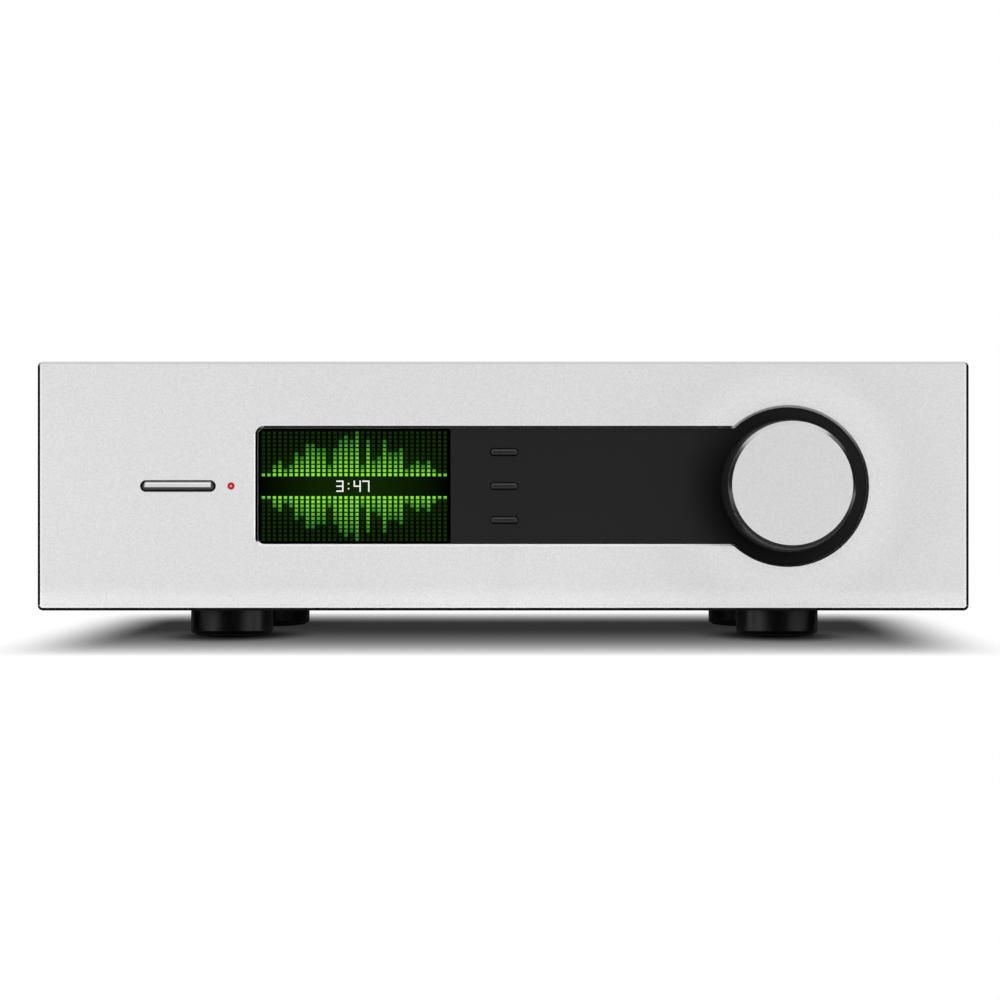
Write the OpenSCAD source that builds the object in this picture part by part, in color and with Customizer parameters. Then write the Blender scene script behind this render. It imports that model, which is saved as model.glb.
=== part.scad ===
// Network music streamer: a full-width hi-fi separate on four round feet.
// X runs along the front panel, Y goes into the case and Z is up, in millimetres.
// The origin lies on the shelf, under the middle of the whole unit.
// Depths (d) are counted from the panel's face into the case; heights of the front parts from its mid line.

/* [Front panel] */
// Width of the front panel
panel_w = 430; // [412:1:460]
// Height of the front panel
panel_h = 115; // [110:1:130]
// Thickness of the front panel
panel_t = 10; // [9:0.5:14]
// Corner radius of the front panel
panel_r = 2.4; // [1.6:0.1:5]
// Chamfer round the panel's face
panel_chamfer = 1.3; // [0.3:0.1:1.5]
// Chamfer round the window
window_chamfer = 1; // [0.3:0.1:1.4]
// Thickness of the panel where the pocket behind the window thins it
panel_lip = 4; // [3.5:0.25:6]

/* [Window and insert] */
// Distance from the panel's middle to the left end of the window
window_left = 113.4; // [108:0.2:120]
// Height of the window
window_h = 53.6; // [50:0.2:58]
// Corner radius at the left end of the window
window_r = 3; // [1:0.1:6]
// Radius of the round end of the window
ring_r = 36.4; // [35:0.1:39]
// How far the insert's face lies behind the panel's face
insert_recess = 2; // [1:0.1:2.4]
// Width of the flange that holds the insert behind the panel
insert_flange_w = 6; // [5.5:0.25:8]
// Thickness of that flange
insert_flange_t = 2.5; // [2:0.1:3]
// Sliding clearance between parts that fit into each other
fit = 0.2; // [0.1:0.05:0.3]

/* [Display] */
// Width of the display lens
lens_w = 89; // [84:0.5:96]
// Thickness of the display lens
lens_t = 1.5; // [1:0.1:1.8]
// Border of the lens that is glued to the insert
lens_border = 1; // [0.8:0.1:4]
// Thickness of the display module
display_t = 4.5; // [3:0.1:6]

/* [Menu buttons] */
// Distance from the panel's middle to the column of buttons
button_x = 0.5; // [-4:0.5:10]
// Distance between the buttons
button_pitch = 15.7; // [12:0.1:18]
// Width of a button
button_w = 12.5; // [10:0.1:16]
// Height of a button
button_h = 3; // [2.4:0.1:4]
// How far a button stands out of the insert
button_proud = 1.2; // [0.8:0.1:1.6]
// Gap round a button
button_gap = 0.35; // [0.25:0.05:0.5]
// How far a button goes in
button_travel = 0.6; // [0.4:0.05:0.8]

/* [Power bar and standby light] */
// Distance from the standby light to the middle of the power bar
power_offset = 24.5; // [23:0.1:30]
// Width of the power bar
power_w = 34; // [28:0.5:36]
// Height of the power bar
power_h = 4.4; // [3.6:0.1:6]
// How far the power bar stands out of the panel
power_proud = 1; // [0.6:0.1:2]
// Gap round the power bar
power_gap = 0.5; // [0.3:0.05:0.6]
// How far the power bar goes in
power_travel = 0.8; // [0.4:0.05:1]
// Distance from the window's left end to the standby light
led_offset = 12.2; // [10:0.1:14]
// Diameter of the standby light's lens
led_d = 3; // [2:0.1:4]

/* [Knob] */
// Distance from the panel's middle to the knob's axis
knob_x = 131.5; // [126:0.5:140]
// How far the knob's face stands in front of the panel
knob_reach = 26; // [22:0.5:34]
// Diameter of the knob's flat face
knob_face_d = 54.8; // [50:0.2:57]
// Bevel round the knob's face
knob_bevel = 1.6; // [0.6:0.1:2]
// Thickness of the knob's silver cap
knob_cap_t = 2.4; // [2.2:0.1:4]
// How far the knob's skirt flares out past its front
knob_flare = 2; // [0.5:0.1:4]
// Wall of the knob's body
knob_wall = 4; // [2.5:0.1:6]
// Gap between the knob and the insert
knob_gap = 1.2; // [0.6:0.1:2]
// Diameter of the encoder's shaft
shaft_d = 6; // [5:0.1:6.4]

/* [Case] */
// Depth of the case from the panel's face to the rear panel
case_d = 350; // [335:1:400]
// How far the case's sides stand in from the panel's ends
case_inset = 2; // [1.8:0.1:5]
// How far the cover lies below the panel's top edge
cover_drop = 1; // [0.2:0.1:3]
// Thickness of the case's sheet steel
sheet_t = 1.5; // [1:0.1:2]
// Outer radius of the bends in the sheet steel
bend_r = 3; // [2.2:0.1:5]
// Height of the chassis base's flanges
chassis_flange_h = 14; // [12:0.5:16]
// Length of a vent slot in the cover
vent_l = 62; // [30:1:80]
// Width of a vent slot
vent_w = 3.6; // [2:0.1:5]
// Distance between vent slots
vent_pitch = 9; // [7:0.5:12]
// Vent slots in each of the two banks
vent_count = 11; // [5:1:13]

/* [Feet] */
// Height of the feet under the chassis base
foot_h = 14.6; // [13:0.1:20]
// How far the panel's lower edge hangs below the chassis base
panel_hang = 1; // [0:0.1:2]
// Diameter of a foot
foot_d = 39; // [36:0.5:46]
// Distance from the middle to the feet, to each side
foot_x = 130.5; // [110:0.5:170]
// Depth of the front feet behind the panel's face
foot_front = 55; // [40:1:80]
// Depth of the rear feet in front of the rear panel
foot_rear = 54; // [40:1:90]
// Width of a foot's rim round its rubber pad
pad_rim = 1.8; // [1.5:0.1:4]
// How far a pad stands out of its foot
pad_proud = 1.8; // [1.4:0.1:3]

/* [Boards and supply] */
// Thickness of the circuit boards
board_t = 1.6; // [1:0.1:2.4]
// Length of the spacers under the boards
spacer_h = 10; // [8:0.5:14]
// Gap between the mainboard and the supply board, which share the case's width
board_gap = 23.6; // [12:0.2:40]
// Depth of the mainboard
main_l = 190; // [150:1:200]
// Width of the supply board
supply_w = 140; // [130:1:146]
// Depth of the supply board
supply_l = 104; // [96:1:112]
// Radius of the toroidal transformer
toroid_r = 50; // [40:1:54]
// Height of the transformer's winding
toroid_h = 44; // [30:1:60]
// Height of the smoothing capacitors
capacitor_h = 36; // [25:1:50]

/* [Rear sockets] */
// How far the antenna sockets stand out of the rear panel
antenna_reach = 11; // [10.5:0.5:15]
// How far the phono sockets stand out of the rear panel
phono_reach = 10; // [8.5:0.5:10.5]
// Outer diameter of a phono socket's sleeve
phono_d = 8.3; // [8:0.1:9]
// Bore of the trigger jack
trigger_bore_d = 3.6; // [3.2:0.1:4]
// Angle that the mains rocker tilts through
rocker_swing = 18; // [12:1:22]

/* [Hidden] */
$fn = 64;

// Overshoot of a cut past the face that it opens
cut = 1;
// Radial clearance of a screw in its hole
screw_gap = 0.1;

// Frame: depth of the whole unit, the panel's face and the mid line
total_d = knob_reach + case_d + antenna_reach;
face_y = knob_reach - total_d / 2;
panel_z = foot_h - panel_hang;
mid_z = panel_z + panel_h / 2;

// Case
case_x = panel_w / 2 - case_inset;
chassis_x = case_x - sheet_t - fit;
wall_d = panel_t + sheet_t;
rear_d = case_d - sheet_t;
floor_z = foot_h + sheet_t;
cover_z = panel_z + panel_h - cover_drop;
inner_top_z = cover_z - sheet_t - fit;
foot_places = [
    [-foot_x, foot_front], [foot_x, foot_front],
    [-foot_x, case_d - foot_rear], [foot_x, case_d - foot_rear],
];

// Screws: machine screws of the case and small screws of the boards
case_screw_r = 1.9;
case_screw_head_r = 3.6;
case_screw_head_h = 1.6;
case_screw_bite = 4;
small_screw_r = 1.25;
small_screw_head_r = 2.4;
small_screw_head_h = 1.6;
small_screw_bite = 2.4;
// How far a screw reaches past the sheet that it holds
screw_tip = 2;

// Front panel screws sit in two rows, outside the window's pocket
panel_screw_edge = 9.5;
panel_screw_end = 20;
panel_screw_z = panel_h / 2 - panel_screw_edge;
panel_screw_x = [panel_screw_end - panel_w / 2, -panel_w / 6, panel_w / 6, panel_w / 2 - panel_screw_end];
panel_screw_places = [for (x = panel_screw_x, s = [-1, 1]) [x, s * panel_screw_z]];

// Insert, lens and display, front to back
insert_back = panel_lip + insert_flange_t;
lens_back = insert_recess + lens_t;
lens_mid = -window_left + lens_w / 2;
display_w = lens_w - 2 * lens_border;
display_h = window_h - 2 * lens_border;
display_r = 1;
flange_mid_z = window_h / 2 + insert_flange_w / 2;
insert_screw_offset = 45;
insert_screw_places = concat(
    [for (x = [lens_mid, button_x + insert_screw_offset], s = [-1, 1]) [x, s * flange_mid_z]],
    [[knob_x + ring_r + insert_flange_w / 2, 0]]
);

// Control board behind the chassis wall, on bosses of the insert
control_gap = 1.5;
control_d = wall_d + control_gap;
boss_r = 2.9;
boss_inset = 9;
boss_x = [boss_inset - window_left, knob_x - ring_r - boss_inset];
boss_places = [for (x = boss_x, s = [-1, 1]) [x, s * flange_mid_z]];

// Push switches, their plungers and the buttons' flanges
switch_w = 6;
switch_h = 3.5;
plunger_r = 1.7;
plunger_proud = 1.2;
plunger_sunk = 0.6;
plunger_gap = 0.2;
stem_r = 1.6;
button_flange = 1.2;
button_flange_t = 1;
button_places = [[button_x, button_pitch], [button_x, 0], [button_x, -button_pitch]];

// Power bar, standby light and their board, on spacers behind the chassis wall
led_x = window_left + led_offset;
power_x = led_x + power_offset;
standby_spacer_h = 9;
standby_d = wall_d + standby_spacer_h;
standby_half_h = 14;
standby_margin = 9;
standby_clear = 1.5;
standby_corner_r = 2;
standby_spacer_inset = 5;
standby_left = -power_x - power_w / 2 - standby_margin;
standby_right = -window_left - insert_flange_w - standby_clear;
standby_spacer_places = [
    for (x = [standby_left + standby_spacer_inset, standby_right - standby_spacer_inset], s = [-1, 1])
        [x, s * (standby_half_h - standby_spacer_inset)]
];
led_h = 4.7;
led_rim = 0.4;
led_rim_t = 1;
lens_dome = 0.3;

// Encoder and knob along the knob's axis
encoder_w = 12.4;
encoder_h = 5.2;
bushing_r = 4.5;
bushing_proud = 7;
encoder_floor = 1.2;
encoder_leg_w = 1;
encoder_leg_pitch = 2.5;
nut_t = 2;
nut_r = 6.6;
run_gap = 0.05;
shaft_end_gap = 0.3;
shaft_flat = shaft_d / 4;
bushing_front = insert_recess - bushing_proud;
knob_front = -knob_reach;
cap_back = knob_front + knob_cap_t;
knob_back = insert_recess - knob_gap;
knob_body_r = knob_face_d / 2 + knob_bevel;
knob_skirt_r = knob_body_r + knob_flare;
knob_web = 6;
knob_hub_r = 8;
knob_hub_gap = 1;
knob_hub_back = bushing_front - knob_hub_gap;
knob_bore_skin = 2;
knob_bore_front = cap_back + knob_bore_skin;
knob_screw_d = (knob_bore_front + knob_hub_back) / 2;
knob_groove = 0.5;
knob_groove_w = 0.8;
knob_groove_inset = 6;
knob_groove_d = knob_back - knob_groove_inset;
set_screw_sunk = 0.5;

// Feet and pads
foot_edge_r = 1.6;
foot_rim_flat = 0.2;
pad_seat = 2;
pad_r = foot_d / 2 - pad_rim - fit;
pad_crown_r = 105;
pad_flat_drop = 0.3;
foot_screw_r = 2;
foot_screw_head_r = 4;
foot_screw_head_h = 2.6;
foot_screw_well = 3.4;

// Boards inside the case
board_margin = 12;
board_z = floor_z + spacer_h;
board_top = board_z + board_t;
board_rear_gap = 6;
board_rear = rear_d - board_rear_gap;
flange_gap = 1;
rear_flange_h = board_z - flange_gap - foot_h;
main_right = chassis_x - board_margin;
main_front = board_rear - main_l;
supply_left = -chassis_x + board_margin;
supply_right = supply_left + supply_w;
main_left = supply_right + board_gap;
supply_front = board_rear - supply_l;
spacer_r = 3;
spacer_inset = 6;
rear_spacer_inset = 34;
main_spacer_places = [
    for (x = [main_left + spacer_inset, main_right - spacer_inset],
         d = [main_front + spacer_inset, board_rear - rear_spacer_inset]) [x, d]
];
supply_spacer_places = [
    for (x = [supply_left + spacer_inset, supply_right - spacer_inset],
         d = [supply_front + spacer_inset, board_rear - rear_spacer_inset]) [x, d]
];

// Transformer behind the front wall, on the supply's side
toroid_hole_r = 16;
toroid_edge_r = 9;
toroid_pad_t = 2;
toroid_margin = 14;
toroid_shift = 10;
toroid_x = supply_left + toroid_r + toroid_margin;
toroid_d = (wall_d + supply_front) / 2 + toroid_shift;
toroid_z = floor_z + toroid_pad_t;
clamp_z = toroid_z + toroid_h + toroid_pad_t;
clamp_t = 2;
clamp_r = 34;
clamp_dip = 8;
clamp_eye_r = 8;
bolt_r = 3;
bolt_head_r = 5.4;
bolt_head_h = 3.2;
bolt_nut_t = 5;
bolt_tail = 2;

// Supply board's parts
capacitor_r = 11;
capacitor_pitch = 25;
capacitor_inset = 44;
sink_w = 70;
sink_base = 3;
sink_fin_l = 16;
sink_fin_t = 1.5;
sink_fins = 10;
sink_h = 32;
sink_x = supply_left + supply_w / 2;
sink_inset = 30;
sink_d = supply_front + sink_inset;
regulator_w = 10;
regulator_t = 4.5;
regulator_h = 15;
regulator_lift = 8;
regulator_pitch = 22;
regulator_leg_w = 0.8;
regulator_leg_d = 2;
regulator_leg_pitch = 2.5;

// Mainboard's parts: their rows behind its front edge, and the plug-in card's place
chip_inset = 30;
chip_pitch = 34;
chip_row = 70;
can_inset = 26;
can_pitch = 15;
can_row = 104;
relay_row = 116;
module_w = 62;
module_inset = 23;
module_front = 40;

// Ribbons
ribbon_t = 1;
ribbon_bend = 4;
plug_h = 6;
plug_l = 5;
plug_rim = 1;
plug_inset = 8;
display_ribbon_w = 30;
display_ribbon_offset = 40;
display_ribbon_drop = 20;
display_ribbon_x = button_x + display_ribbon_offset;
supply_ribbon_w = 24;
supply_ribbon_rise = 8;
supply_ribbon_inset = 70;

// Rear sockets: places along the rear panel and heights
inlet_offset = 26;
inlet_drop = 18;
inlet_x = supply_left + inlet_offset;
inlet_z = mid_z - inlet_drop;
inlet_w = 27;
inlet_h = 20;
inlet_flange = 2.5;
inlet_flange_t = 2;
inlet_body_l = 20;
inlet_well_w = 24.4;
inlet_well_h = 16.4;
inlet_well_l = 17;
inlet_corner = 4.6;
inlet_pin_l = 12;
inlet_pin = [2, 4];
inlet_pins = [[-7, -2], [7, -2], [0, 2]];
inlet_corner_r = 2;
switch_offset = 42;
switch_x = inlet_x + switch_offset;
rocker_r = 8.5;
rocker_w = 10.4;
rocker_gap = 0.3;
rocker_pivot = 2.5;
rocker_face = 3;
rocker_back = 3;
rocker_pin_r = 1;
rocker_pin_l = 0.7;
rocker_pin_gap = 0.2;
switch_wall = 1.3;
switch_rim = 1.5;
switch_body_l = 16;
switch_well_l = 12;
line_offset = 24;
line_gap = 20;
coaxial_gap = 28;
phono_rise = 9;
line_left = main_left + line_offset;
line_x = [line_left, line_left + line_gap, line_left + line_gap + coaxial_gap];
phono_z = board_top + phono_rise;
phono_block_w = 14;
phono_block_h = 16;
phono_block_l = 15;
phono_collar_r = 5.6;
phono_collar_t = 2;
phono_wall = 0.8;
phono_pin_r = 1.65;
phono_floor = 1;
phono_eye_sunk = 0.5;
trigger_offset = 98;
trigger_x = main_left + trigger_offset;
trigger_w = 9;
trigger_h = 9;
trigger_l = 14;
trigger_nose_r = 3;
trigger_nose = 1;
trigger_floor = 2;
usb_offset = 122;
usb_x = main_left + usb_offset;
usb_w = 13.6;
usb_h = 6.2;
usb_l = 14;
usb_wall = 0.5;
usb_floor = 2;
usb_tongue_t = 1.9;
usb_tongue_inset = 1.3;
usb_tongue_sunk = 1.5;
ethernet_offset = 152;
ethernet_x = main_left + ethernet_offset;
ethernet_w = 16;
ethernet_h = 13.6;
ethernet_l = 21;
ethernet_well_w = 11.8;
ethernet_well_h = 8;
ethernet_well_l = 14;
ethernet_well_lift = 2.6;
ethernet_notch_w = 6;
ethernet_notch_h = 1.1;
jack_proud = 0.6;
balanced_offset = 30;
balanced_gap = 44;
balanced_rise = 18;
balanced_left = main_left + balanced_offset;
balanced_x = [balanced_left, balanced_left + balanced_gap];
balanced_z = mid_z + balanced_rise;
balanced_flange_w = 26;
balanced_flange_h = 31;
balanced_flange_t = 2;
balanced_corner_r = 3;
balanced_body_r = 11.4;
balanced_body_l = 20;
balanced_bore_r = 8.1;
balanced_well_l = 16;
balanced_pin_r = 1.2;
balanced_pin_l = 11;
balanced_pin_ring = 4;
balanced_screw_x = 9.5;
balanced_screw_z = 12;
balanced_screw_head_r = 3;
antenna_inset = 21;
antenna_gap = 56;
antenna_rise = 32;
antenna_x = [balanced_x[1] + antenna_gap, main_right - antenna_inset];
antenna_z = mid_z + antenna_rise;
antenna_r = 3.1;
antenna_nut_r = 5;
antenna_nut_t = 2.4;
antenna_tail = 6;
antenna_eye_r = 0.7;
antenna_eye_l = 9;
rear_return = 14;
rear_return_gap = 1;
rear_screw_end = 20;
cover_screw_inset = 55;
cover_screw_rise = 20;
vent_inset = 40;
cover_screw_z = foot_h + chassis_flange_h / 2;
cover_screw_places = [
    [wall_d + cover_screw_inset, cover_screw_z], [rear_d - cover_screw_inset, cover_screw_z],
    [rear_d - rear_return / 2, mid_z + cover_screw_rise],
];
rear_screw_z = foot_h + (sheet_t + rear_flange_h) / 2;
rear_screw_x = [for (i = [-2:2]) i * (chassis_x - rear_screw_end) / 2];
balanced_screw_places = [
    for (x = balanced_x, s = [-1, 1]) [x + s * balanced_screw_x, balanced_z + s * balanced_screw_z]
];

// Drawing aids: shapes placed by depth behind the panel's face

// Extrudes an outline of (x, height over the mid line) from depth d0 to d1
module slab(d0, d1) {
    translate([0, face_y + d1, mid_z]) rotate([90, 0, 0]) linear_extrude(d1 - d0) children();
}

// Extrudes an outline of (depth, height over the mid line) along X
module along_x(x0, x1) {
    translate([x0, face_y, mid_z]) rotate([90, 0, 90]) linear_extrude(x1 - x0) children();
}

// Extrudes an outline of (x, depth) upwards, between two heights over the mid line
module along_z(z0, z1) {
    translate([0, face_y, mid_z + z0]) linear_extrude(z1 - z0) children();
}

// Turns an outline of (radius, depth) about an axis that runs into the case
module turned(x, z) {
    translate([x, face_y, mid_z + z]) rotate([-90, 0, 0]) rotate_extrude() children();
}

// Cylinder or cone that runs into the case from depth d0 to d1
module rod(x, z, d0, d1, r0, r1 = undef) {
    translate([x, face_y + d0, mid_z + z]) rotate([-90, 0, 0])
        cylinder(h = d1 - d0, r1 = r0, r2 = is_undef(r1) ? r0 : r1);
}

// Upright cylinder between two heights over the shelf
module post(x, d, z0, z1, r) {
    translate([x, face_y + d, z0]) cylinder(h = z1 - z0, r = r);
}

// Cylinder that runs along X
module cross_rod(d, z, x0, x1, r) {
    translate([x0, face_y + d, z]) rotate([0, 90, 0]) cylinder(h = x1 - x0, r = r);
}

// Block between two corners, with heights over the shelf
module block(x0, x1, d0, d1, z0, z1) {
    translate([x0, face_y + d0, z0]) cube([x1 - x0, d1 - d0, z1 - z0]);
}

// Outline of a rectangle with round corners
module rounded(w, h, r) {
    square([w - 2 * r, h], center = true);
    square([w, h - 2 * r], center = true);
    for (x = [-1, 1], y = [-1, 1])
        translate([x * (w / 2 - r), y * (h / 2 - r)]) circle(r);
}

// Outline of a bar with round ends
module pill(w, h) {
    square([w - h, h], center = true);
    for (s = [-1, 1]) translate([s * (w - h) / 2, 0]) circle(h / 2);
}

// Outline of the window: a rectangle that runs into a circle, grown all round
module keyhole(grow) {
    left = -window_left - grow;
    half = window_h / 2 + grow;
    r = window_r + grow;
    translate([left + r, -half]) square([knob_x - left - r, 2 * half]);
    translate([left, -half + r]) square([r, 2 * (half - r)]);
    for (s = [-1, 1]) translate([left + r, s * (half - r)]) circle(r);
    translate([knob_x, 0]) circle(ring_r + grow);
}

// Blind hole for a small screw that bites into a face at depth d from behind
module tapped_hole(place, d) {
    rod(place.x, place.y, d - small_screw_bite - screw_gap, d + cut, small_screw_r + screw_gap);
}

// Screw that runs towards the front, its head behind depth d
module screw_out(x, z, d, bite, r, head_r, head_h) {
    rod(x, z, d - bite, d, r);
    rod(x, z, d, d + head_h, head_r);
}

// Bar with round ends and a half-round front, from its front to depth d1
module half_round_bar(x, z, w, h, front, d1) {
    r = h / 2;
    half = w / 2 - r;
    back = d1 - front - r;
    along_x(x - half, x + half) translate([front + r, z]) {
        intersection() {
            circle(r);
            translate([-2 * r, -r]) square([2 * r, 2 * r]);
        }
        translate([0, -r]) square([back, 2 * r]);
    }
    for (s = [-1, 1])
        translate([x + s * half, face_y + front + r, mid_z + z]) rotate([-90, s * 90 - 90, 0])
            rotate([0, 0, -90]) rotate_extrude(angle = 180) {
                intersection() {
                    circle(r);
                    translate([0, -r]) square([r, r]);
                }
                square([r, back]);
            }
}

// Push button: a bar through its slot, a flange behind and a stem to the switch
module push_button(x, z, w, h, front, seat, stem_end) {
    half_round_bar(x, z, w, h, front, seat);
    slab(seat, seat + button_flange_t)
        translate([x, z]) pill(w + 2 * button_flange, h + 2 * button_flange);
    rod(x, z, seat + button_flange_t, stem_end, stem_r);
}

// Switch body on a board's front face, with a well for its plunger
module switch_body(x, z, board, travel) {
    well_d = plunger_sunk + travel + plunger_gap;
    difference() {
        translate([x - switch_w / 2, face_y + board - switch_h, mid_z + z - switch_w / 2])
            cube([switch_w, switch_h, switch_w]);
        rod(x, z, board - switch_h - cut, board - switch_h + well_d, plunger_r + plunger_gap);
    }
}

module switch_plunger(x, z, board) {
    rod(x, z, board - switch_h - plunger_proud, board - switch_h + plunger_sunk, plunger_r);
}

// Front panel

// Front layer of the panel, as wide as the panel at depth panel_chamfer
module panel_bevel() {
    c = panel_chamfer;
    w = panel_w / 2;
    h = panel_h / 2;
    along_x(panel_r - w, w - panel_r) polygon([[0, h - c], [c, h], [c, -h], [0, c - h]]);
    along_z(panel_r - h, h - panel_r) polygon([[c - w, 0], [-w, c], [w, c], [w - c, 0]]);
    for (x = [-1, 1], z = [-1, 1])
        rod(x * (w - panel_r), z * (h - panel_r), 0, c, panel_r - c, panel_r);
}

// Cut that bevels the edge of the window
module window_bevel() {
    c = window_chamfer;
    g = c + cut;
    left = -window_left;
    h = window_h / 2;
    along_x(left + window_r, knob_x) polygon([[-cut, h + g], [c, h], [c, -h], [-cut, -h - g]]);
    along_z(window_r - h, h - window_r) polygon([[left - g, -cut], [left, c], [knob_x, c], [knob_x, -cut]]);
    for (s = [-1, 1])
        rod(left + window_r, s * (h - window_r), -cut, c, window_r + g, window_r);
    rod(knob_x, 0, -cut, c, ring_r + g, ring_r);
}

module power_slot(d0, d1) {
    slab(d0, d1) translate([-power_x, 0]) pill(power_w + 2 * power_gap, power_h + 2 * power_gap);
}

module front_panel() {
    color("silver") difference() {
        union() {
            slab(panel_chamfer, panel_t) rounded(panel_w, panel_h, panel_r);
            panel_bevel();
        }
        slab(-cut, panel_lip + cut) keyhole(0);
        window_bevel();
        slab(panel_lip, panel_t + cut) keyhole(insert_flange_w + fit);
        power_slot(-cut, panel_t + cut);
        rod(-led_x, 0, -cut, panel_t + cut, led_d / 2 + fit);
        for (p = panel_screw_places)
            rod(p.x, p.y, panel_t - case_screw_bite - cut, panel_t + cut, case_screw_r + screw_gap);
        for (p = insert_screw_places)
            tapped_hole(p, panel_lip);
    }
}

// Fascia insert and display

module fascia_insert() {
    color("#252525") difference() {
        union() {
            slab(insert_recess, panel_lip) keyhole(-fit);
            slab(panel_lip, insert_back) keyhole(insert_flange_w);
            for (p = boss_places) rod(p.x, p.y, insert_back, control_d, boss_r);
        }
        slab(insert_recess - cut, lens_back)
            translate([-window_left - cut, -window_h]) square([lens_w + cut + fit, 2 * window_h]);
        slab(insert_recess, insert_back + cut)
            translate([lens_mid, 0]) square([display_w, display_h], center = true);
        for (p = button_places)
            slab(insert_recess - cut, insert_back + cut)
                translate(p) pill(button_w + 2 * button_gap, button_h + 2 * button_gap);
        rod(knob_x, 0, insert_recess - cut, insert_back + cut, bushing_r + fit);
        for (p = insert_screw_places)
            rod(p.x, p.y, panel_lip - cut, insert_back + cut, small_screw_r + screw_gap);
        for (p = boss_places)
            tapped_hole(p, control_d);
    }
}

module display_lens() {
    color("black") slab(insert_recess, lens_back) intersection() {
        keyhole(-fit);
        translate([-window_left, -window_h]) square([lens_w, 2 * window_h]);
    }
}

module display_module() {
    color("#0a1a0c") slab(lens_back, lens_back + display_t)
        translate([lens_mid, 0]) rounded(display_w - 2 * fit, display_h - 2 * fit, display_r);
}

module insert_screws() {
    color("dimgray") for (p = insert_screw_places)
        screw_out(p.x, p.y, insert_back, small_screw_bite + insert_flange_t,
            small_screw_r, small_screw_head_r, small_screw_head_h);
}

// Menu buttons and their switches

module menu_button(place) {
    color("#181818") push_button(place.x, place.y, button_w, button_h,
        insert_recess - button_proud, insert_back, control_d - switch_h - plunger_proud);
}

module upper_button() { menu_button(button_places[0]); }
module middle_button() { menu_button(button_places[1]); }
module lower_button() { menu_button(button_places[2]); }

module menu_plunger(place) {
    color("dimgray") switch_plunger(place.x, place.y, control_d);
}

module upper_plunger() { menu_plunger(button_places[0]); }
module middle_plunger() { menu_plunger(button_places[1]); }
module lower_plunger() { menu_plunger(button_places[2]); }

module button_switches() {
    color("#303030") {
        for (p = button_places) switch_body(p.x, p.y, control_d, button_travel);
        switch_body(-power_x, 0, standby_d, power_travel);
    }
}

module control_board() {
    left = -window_left - insert_flange_w;
    color("darkgreen") difference() {
        slab(control_d, control_d + board_t) {
            translate([left, -flange_mid_z - boss_r])
                square([knob_x - left, 2 * (flange_mid_z + boss_r)]);
            translate([knob_x, 0]) circle(flange_mid_z + boss_r);
        }
        for (p = boss_places)
            rod(p.x, p.y, control_d - cut, control_d + board_t + cut, small_screw_r + screw_gap);
    }
}

// Power bar and standby light

module power_button() {
    color("silver") push_button(-power_x, 0, power_w, power_h,
        -power_proud, wall_d, standby_d - switch_h - plunger_proud);
}

module power_plunger() {
    color("dimgray") switch_plunger(-power_x, 0, standby_d);
}

module standby_board() {
    color("darkgreen") difference() {
        slab(standby_d, standby_d + board_t)
            translate([(standby_left + standby_right) / 2, 0])
                rounded(standby_right - standby_left, 2 * standby_half_h, standby_corner_r);
        for (p = standby_spacer_places)
            rod(p.x, p.y, standby_d - cut, standby_d + board_t + cut, small_screw_r + screw_gap);
    }
}

module standby_led() {
    color("red") {
        rod(-led_x, 0, standby_d - led_h, standby_d, led_d / 2);
        rod(-led_x, 0, standby_d - led_rim_t, standby_d, led_d / 2 + led_rim);
    }
}

// Light pipe from the lamp to the panel's face, with a low dome
module standby_lens() {
    r = led_d / 2;
    dome_r = (r * r + lens_dome * lens_dome) / (2 * lens_dome);
    color("#ff5050") turned(-led_x, 0) {
        square([r, standby_d - led_h]);
        intersection() {
            translate([0, dome_r - lens_dome]) circle(dome_r, $fn = 256);
            translate([0, -lens_dome]) square([r, lens_dome]);
        }
    }
}

// Knob and encoder

module knob_cap() {
    r = knob_face_d / 2;
    color("silver") turned(knob_x, 0) polygon([
        [0, knob_front], [r, knob_front], [knob_body_r, knob_front + knob_bevel],
        [knob_body_r, cap_back], [0, cap_back],
    ]);
}

// Shaft outline along the knob's axis, with its flat facing down from the front to depth d1
module d_shaft(d0, d1, d2, grow) {
    r = shaft_d / 2 + grow;
    difference() {
        rod(knob_x, 0, d0, d2, r);
        translate([knob_x - r - cut, face_y + d0 - cut, mid_z - shaft_flat - grow - 2 * r])
            cube([2 * (r + cut), d1 - d0 + cut, 2 * r]);
    }
}

module knob_body() {
    well_r = knob_body_r - knob_wall;
    well_front = cap_back + knob_web;
    groove_r = knob_body_r + knob_flare * (knob_groove_d - cap_back) / (knob_back - cap_back);
    color("#1c1c1c") difference() {
        turned(knob_x, 0) difference() {
            polygon([
                [0, cap_back], [knob_body_r, cap_back], [knob_skirt_r, knob_back],
                [well_r, knob_back], [well_r, well_front],
                [knob_hub_r, well_front], [knob_hub_r, knob_hub_back], [0, knob_hub_back],
            ]);
            translate([groove_r - knob_groove, knob_groove_d]) square([knob_groove + cut, knob_groove_w]);
        }
        d_shaft(knob_bore_front, knob_hub_back + cut, knob_hub_back + cut, run_gap);
        post(knob_x, knob_screw_d, mid_z - knob_skirt_r - cut, mid_z, case_screw_r + screw_gap);
    }
}

module knob_set_screw() {
    low = mid_z - knob_hub_r + set_screw_sunk;
    color("dimgray") post(knob_x, knob_screw_d, low, mid_z - shaft_flat, case_screw_r);
}

module encoder_shaft() {
    color("gainsboro")
        d_shaft(knob_bore_front + shaft_end_gap, knob_hub_back,
            insert_back + encoder_h - encoder_floor - shaft_end_gap, 0);
}

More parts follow.
